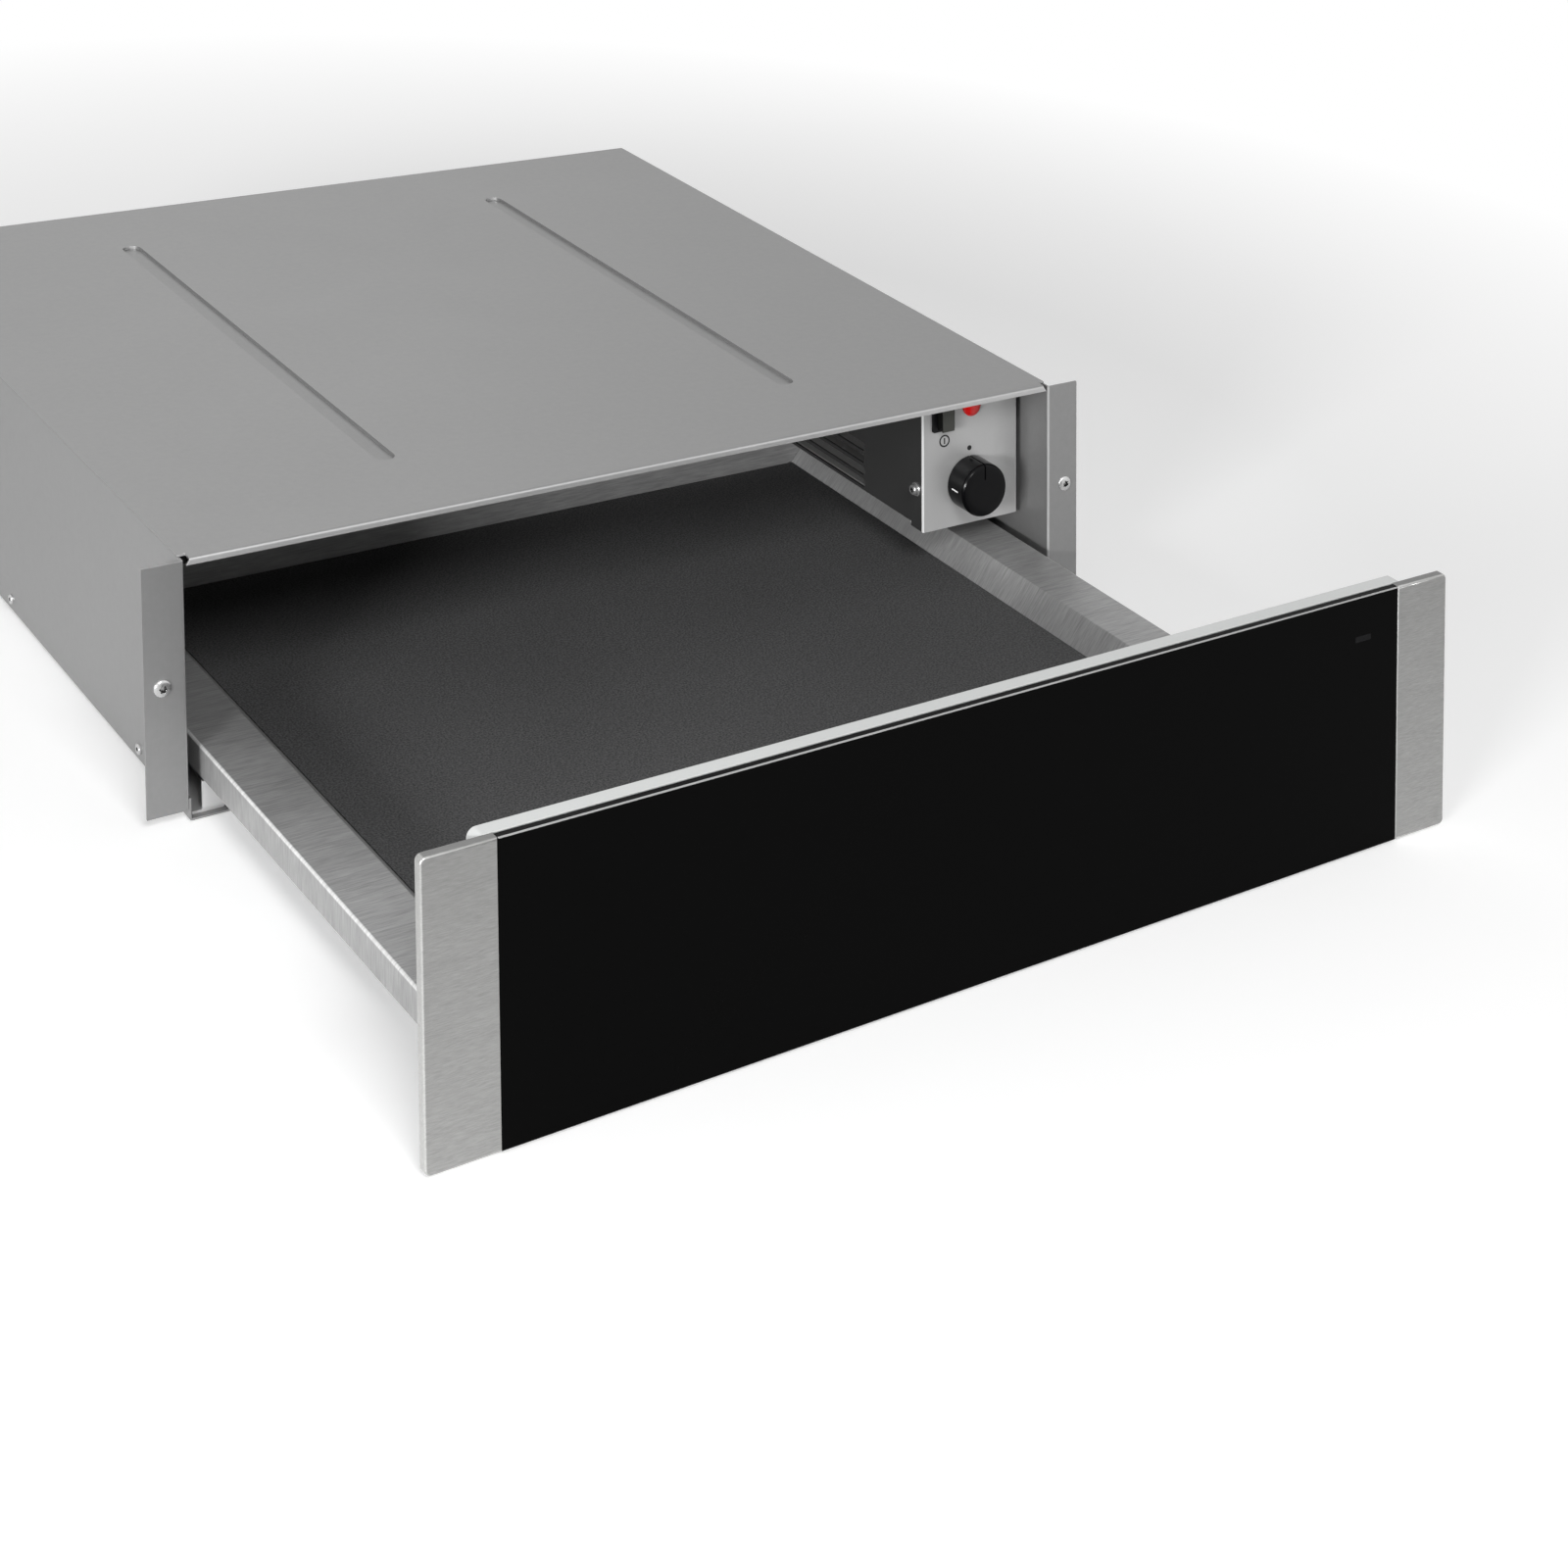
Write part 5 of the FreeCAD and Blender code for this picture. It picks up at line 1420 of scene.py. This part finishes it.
@dataclass
class ControlBox:
    """The control box: fascia, cover, duct, heater and fan, with the knob, the switch and the lamp."""

    panel_y: float = -241.6
    panel_edge: float = 0.9
    knob_centre: tuple[float, float] = (231.2, 75.9)
    knob_radius: float = 16.5
    knob_face: float = -17.0
    rim: tuple[tuple[float, float], ...] = (
        (1.50, 0.0), (1.30, 0.035), (1.17, 0.10), (1.08, 0.17), (0.20, 1.22), (0.10, 1.42), (0.03, 1.68), (0.0, 2.1),
    )
    groove: float = 0.9
    groove_depth: float = 1.3
    lamp_centre: tuple[float, float] = (233.0, 123.8)
    ring_centre: tuple[float, float] = (212.8, 104.6)
    ring_radius: float = 3.9
    line: float = 1.0
    bar_height: float = 3.8
    dot_centre: tuple[float, float] = (231.5, 97.0)
    dot_radius: float = 1.6
    print_depth: float = 0.03
    numbers: tuple[tuple[str, float], ...] = (("1", 270.0), ("2", 180.0), ("3", 90.0))
    number_height: float = 9.0

    def build(self, shop: Workshop) -> None:
        """Dresses the box and makes its knob, lamp and prints.

        Args:
            shop: the workshop.
        """
        for name in ("control_cover", "duct_channel", "duct_baffle", "fan_plate"):
            shop.refine(name, 0.2)
        rounding = FrontRounding(self.panel_edge, self.panel_y + 0.05, 0.0, 1.0, front_edge_tree())
        shop.refine("control_fascia", 0.2, front=rounding)
        for name in ("heating_element", "wiring_loom"):
            shop.refine(name, 0.0, 60.0)
        for name in ("thermal_cutout", "fan_frame", "fan_rotor", "thermostat_body", "lamp_body"):
            shop.refine(name, 0.25)
        shop.refine("switch_frame", 0.25, finish=Soft.BEZEL)
        shop.refine("switch_rocker", 0.3)
        shop.refine("thermostat_shaft", 0.2)
        self.knob(shop)
        self.lamp(shop)
        self.prints(shop)
        self.knob_numbers(shop)

    def knob(self, shop: Workshop) -> None:
        """Turns the knob and cuts its index groove.

        Args:
            shop: the workshop.
        """
        x, z = self.knob_centre
        centre = in_metres(x, self.panel_y, z)
        radius, face = self.knob_radius, self.knob_face
        rim = [(radius - inward, face + back) for inward, back in self.rim]
        profile = [
            (0, face), (6, face), (11, face), *rim, (radius, -8), (radius, -0.8), (radius - 0.3, -0.5),
            (radius - 2.2, -0.5), (radius - 2.2, -9), (3.05, -9), (3.05, -13.2), (0, -13.2),
        ]
        shape = lathe(profile, centre, 144)
        blank = bpy.data.objects.new("blank", finished_mesh(shape, "blank"))
        bpy.context.scene.collection.objects.link(blank)
        half = self.groove / 2
        cuts = [
            self.block("cut", (x - half, self.panel_y + face - 1, z + 7), (x + half, self.panel_y + face + self.groove_depth, z + radius + 1)),
            self.block("cut", (x - half, self.panel_y + face - 1, z + radius - self.groove_depth), (x + half, self.panel_y, z + radius + 1)),
        ]
        for cut in cuts:
            carve = blank.modifiers.new("groove", "BOOLEAN")
            carve.object = cut
            carve.operation = "DIFFERENCE"
            carve.solver = "EXACT"
        mesh = shop.settled(blank)
        for thing in (blank, *cuts):
            bpy.data.objects.remove(thing)
        smooth(mesh, 32.0)
        shop.piece("control_knob", mesh, Soft.BLACK, "knob", ("knob",))

    def block(self, name: str, low: Point, high: Point) -> bpy.types.Object:
        """Makes a plain cutting block.

        Args:
            name: the object's name.
            low: its lowest corner, in millimetres.
            high: its highest corner.

        Returns:
            The block, linked to the scene.
        """
        shape = bmesh.new()
        size, middle = in_metres(*high) - in_metres(*low), (in_metres(*high) + in_metres(*low)) / 2
        bmesh.ops.create_cube(shape, size=1.0, matrix=Matrix.Translation(middle) @ Matrix.Diagonal((*size, 1.0)))
        made = bpy.data.objects.new(name, finished_mesh(shape, name))
        bpy.context.scene.collection.objects.link(made)
        return made

    def lamp(self, shop: Workshop) -> None:
        """Turns the lamp's domed lens.

        Args:
            shop: the workshop.
        """
        x, z = self.lamp_centre
        radius, height = 6.6, 3.8
        dome = []
        for i in range(9):
            angle = math.pi / 2 * i / 8
            dome.append((5.6 * math.sin(angle), -1.6 - (height - 1.6) * math.cos(angle)))
        profile = [*dome, (5.9, -1.35), (radius - 0.25, -1.3), (radius, -1.0), (radius, 0), (5.9, 0), (5.9, 8), (0, 8)]
        profile[0] = (0, -height)
        shape = lathe(profile, in_metres(x, self.panel_y, z), 72)
        shop.piece("lamp_dome", finished_mesh(shape, "lamp_dome", 28.0), Soft.LAMP, "housing", ("lamp_lens",))

    def prints(self, shop: Workshop) -> None:
        """Prints the switch's ring and bar and the knob's index dot on the panel.

        Args:
            shop: the workshop.
        """
        shape = bmesh.new()
        x, z = self.ring_centre
        ring = [(self.ring_radius - self.line, 0), (self.ring_radius, 0)]
        self.flat_ring(shape, (x, z), ring[0][0], ring[1][0], 72)
        self.flat_bar(shape, (x, z), self.line, self.bar_height)
        self.flat_ring(shape, self.dot_centre, 0.0, self.dot_radius, 32)
        shop.piece("panel_prints", finished_mesh(shape, "panel_prints"), Soft.PRINT, "housing")

    def flat_ring(self, shape: bmesh.types.BMesh, centre: tuple[float, float], inner: float, outer: float, steps: int) -> None:
        """Adds a thin ring or disc on the panel.

        Args:
            shape: the bmesh to add to.
            centre: its middle, across and up, in millimetres.
            inner: inner radius, 0 for a disc.
            outer: outer radius.
            steps: corners of its edge.
        """
        depth = self.panel_y - self.print_depth
        back = self.panel_y + self.print_depth
        loops = []
        for radius, y in ((inner, back), (inner, depth), (outer, depth), (outer, back)):
            radius = max(radius, 0.01)
            loops.append([
                shape.verts.new(in_metres(
                    centre[0] + radius * math.sin(2 * math.pi * i / steps), y,
                    centre[1] + radius * math.cos(2 * math.pi * i / steps),
                ))
                for i in range(steps)
            ])
        for first, second in zip(loops, loops[1:] + loops[:1]):
            for i in range(steps):
                j = (i + 1) % steps
                shape.faces.new((first[i], first[j], second[j], second[i]))

    def flat_bar(self, shape: bmesh.types.BMesh, centre: tuple[float, float], width: float, height: float) -> None:
        """Adds a thin upright bar on the panel.

        Args:
            shape: the bmesh to add to.
            centre: its middle, across and up, in millimetres.
            width: its width.
            height: its height.
        """
        size = in_metres(width, 2 * self.print_depth, height)
        place = Matrix.Translation(in_metres(centre[0], self.panel_y, centre[1])) @ Matrix.Diagonal((*size, 1.0))
        bmesh.ops.create_cube(shape, size=1.0, matrix=place)

    def knob_numbers(self, shop: Workshop) -> None:
        """Prints the numbers round the knob's side.

        Args:
            shop: the workshop.
        """
        shape = bmesh.new()
        for word, bearing in self.numbers:
            self.bent_text(shape, word, math.radians(bearing))
        mesh = finished_mesh(shape, "knob_numbers", 60.0)
        shop.piece("knob_numbers", mesh, Soft.NUMBER, "knob")

    def bent_text(self, shape: bmesh.types.BMesh, word: str, bearing: float) -> None:
        """Lays one word round the knob's side, its letters' tops towards the panel.

        Args:
            shape: the bmesh to add to.
            word: what it says.
            bearing: angle of its middle, clockwise from the top as seen from the front.
        """
        curve = bpy.data.curves.new("word", "FONT")
        curve.body = word
        curve.align_x = curve.align_y = "CENTER"
        curve.size = self.number_height
        curve.extrude = 0.03
        curve.resolution_u = 6
        holder = bpy.data.objects.new("word", curve)
        bpy.context.scene.collection.objects.link(holder)
        bpy.context.view_layer.update()
        flat = bpy.data.meshes.new_from_object(holder.evaluated_get(bpy.context.evaluated_depsgraph_get()))
        bpy.data.objects.remove(holder)
        x, z = self.knob_centre
        middle = self.panel_y + self.knob_face * 0.5
        start = len(shape.verts)
        shape.from_mesh(flat)
        shape.verts.ensure_lookup_table()
        for vertex in shape.verts[start:]:
            across, up, out = vertex.co
            angle = bearing + across / self.knob_radius
            reach = self.knob_radius + 0.01 + out
            vertex.co = in_metres(x + reach * math.sin(angle), middle + up, z + reach * math.cos(angle))


# Studio


def seen_rays(bench: Bench) -> bpy.types.NodeSocket:
    """Marks what the camera sees, straight or in gloss and glass.

    Args:
        bench: the tree to add to.

    Returns:
        A socket that is 1 for those rays.
    """
    path = bench.add("ShaderNodeLightPath")
    seen = bench.maths("MAXIMUM", path.outputs["Is Camera Ray"], path.outputs["Is Glossy Ray"])
    return bench.maths("MAXIMUM", seen, path.outputs["Is Transmission Ray"])


@dataclass
class PhotoCamera:
    """The camera at the photograph's view: its axes, place and lens."""

    right: Point = (0.791747, -0.605671, 0.079370)
    up: Point = (0.052507, 0.070618, 0.996121)
    back: Point = (-0.471344, -0.749537, 0.464790)
    place: Point = (-0.811138, -1.684103, 0.809936)
    lens: float = 74.4612

    def build(self) -> None:
        """Sets up the camera on an anchor that holds its view."""
        data = bpy.data.cameras.new("photo_camera")
        data.lens = self.lens
        data.sensor_width = 36.0
        data.clip_start, data.clip_end = 0.05, 60.0
        anchor = bpy.data.objects.new("camera_anchor", None)
        camera = bpy.data.objects.new("photo_camera", data)
        for thing in (anchor, camera):
            bpy.context.scene.collection.objects.link(thing)
        camera.parent = anchor
        view = Matrix((self.right, self.up, self.back)).transposed().to_4x4()
        camera.matrix_parent_inverse = Matrix.Translation(self.place) @ view
        bpy.context.scene.camera = camera


@dataclass
class Studio:
    """A pale floor, soft lamps and a pale world."""

    floor_half: float = 14.0
    floor_colour: Colour = (0.80, 0.80, 0.80)
    floor_glow: float = 0.29
    white_from: float = 0.6
    white_at: float = 1.2
    ambient: float = 0.24
    lamps: tuple[tuple[str, Point, tuple[float, float], float], ...] = (
        ("key", (-2.60, -1.89, 0.66), (0.9, 0.45), 92.0),
        ("upper", (-0.60, -2.45, 1.94), (1.0, 0.8), 46.0),
        ("fill", (1.6, -2.4, 1.3), (2.0, 2.0), 4.0),
        ("rear", (0.2, 1.9, 1.9), (2.0, 2.0), 6.0),
    )

    def build(self) -> None:
        """Sets up the floor, the lamps and the world."""
        self.floor()
        for name, place, size, power in self.lamps:
            self.lamp(name, Vector(place), size, power)
        self.world()
        bpy.context.scene.view_settings.view_transform = "Standard"

    def floor(self) -> None:
        """Lays the floor under the housing."""
        shape = bmesh.new()
        bmesh.ops.create_grid(shape, x_segments=1, y_segments=1, size=self.floor_half)
        floor = bpy.data.objects.new("floor", finished_mesh(shape, "floor"))
        floor.location.z = -0.0006
        bpy.context.scene.collection.objects.link(floor)
        material = bpy.data.materials.new("floor")
        material.use_nodes = True
        material.node_tree.nodes.clear()
        bench = Bench(material.node_tree)
        seen = seen_rays(bench)
        matt = bench.add("ShaderNodeBsdfDiffuse", {"Color": self.floor_colour})
        glow = bench.add("ShaderNodeEmission", {"Color": grey(1.0), "Strength": bench.maths("MULTIPLY", seen, self.floor_glow)})
        near = bench.add("ShaderNodeAddShader", {0: matt.outputs[0], 1: glow.outputs[0]})
        place = bench.add("ShaderNodeTexCoord").outputs["Object"]
        distance = bench.add("ShaderNodeVectorMath", {0: place}, operation="LENGTH").outputs["Value"]
        far = bench.span(distance, (self.white_from, self.white_at), (0.0, 1.0))
        white = bench.add("ShaderNodeEmission", {"Color": grey(1.0), "Strength": 1.0})
        both = bench.add(
            "ShaderNodeMixShader", {0: bench.maths("MULTIPLY", far, seen), 1: near.outputs[0], 2: white.outputs[0]}
        )
        bench.add("ShaderNodeOutputMaterial", {"Surface": both.outputs[0]})
        floor.data.materials.append(material)

    def lamp(self, name: str, place: Vector, size: tuple[float, float], power: float) -> None:
        """Hangs one soft lamp that looks at the drawer.

        Args:
            name: its name.
            place: where it hangs.
            size: its width and height.
            power: its power in watts.
        """
        data = bpy.data.lights.new(name, "AREA")
        data.shape = "RECTANGLE"
        data.energy = power
        data.size, data.size_y = size
        lamp = bpy.data.objects.new(name, data)
        lamp.location = place
        lamp.rotation_euler = (Vector((0.0, -0.2, 0.05)) - place).to_track_quat("-Z", "Y").to_euler()
        bpy.context.scene.collection.objects.link(lamp)

    def world(self) -> None:
        """Makes the world white to look at and softly grey as light."""
        world = bpy.data.worlds.new("studio")
        world.use_nodes = True
        world.node_tree.nodes.clear()
        bench = Bench(world.node_tree)
        dim = bench.add("ShaderNodeBackground", {"Color": grey(1.0), "Strength": self.ambient})
        white = bench.add("ShaderNodeBackground", {"Color": grey(1.0), "Strength": 1.0})
        both = bench.add("ShaderNodeMixShader", {0: seen_rays(bench), 1: dim.outputs[0], 2: white.outputs[0]})
        bench.add("ShaderNodeOutputWorld", {"Surface": both.outputs[0]})
        bpy.context.scene.world = world


def main() -> None:
    """Builds the studio and every sub-assembly in order."""
    logging.basicConfig(level=logging.INFO, format="%(message)s")
    PhotoCamera().build()
    Studio().build()
    shop = Workshop()
    for assembly in (Housing(), Slides(), TrayAssembly(), Front(), ControlBox(), Screws()):
        assembly.build(shop)


if __name__ == "__main__":
    main()
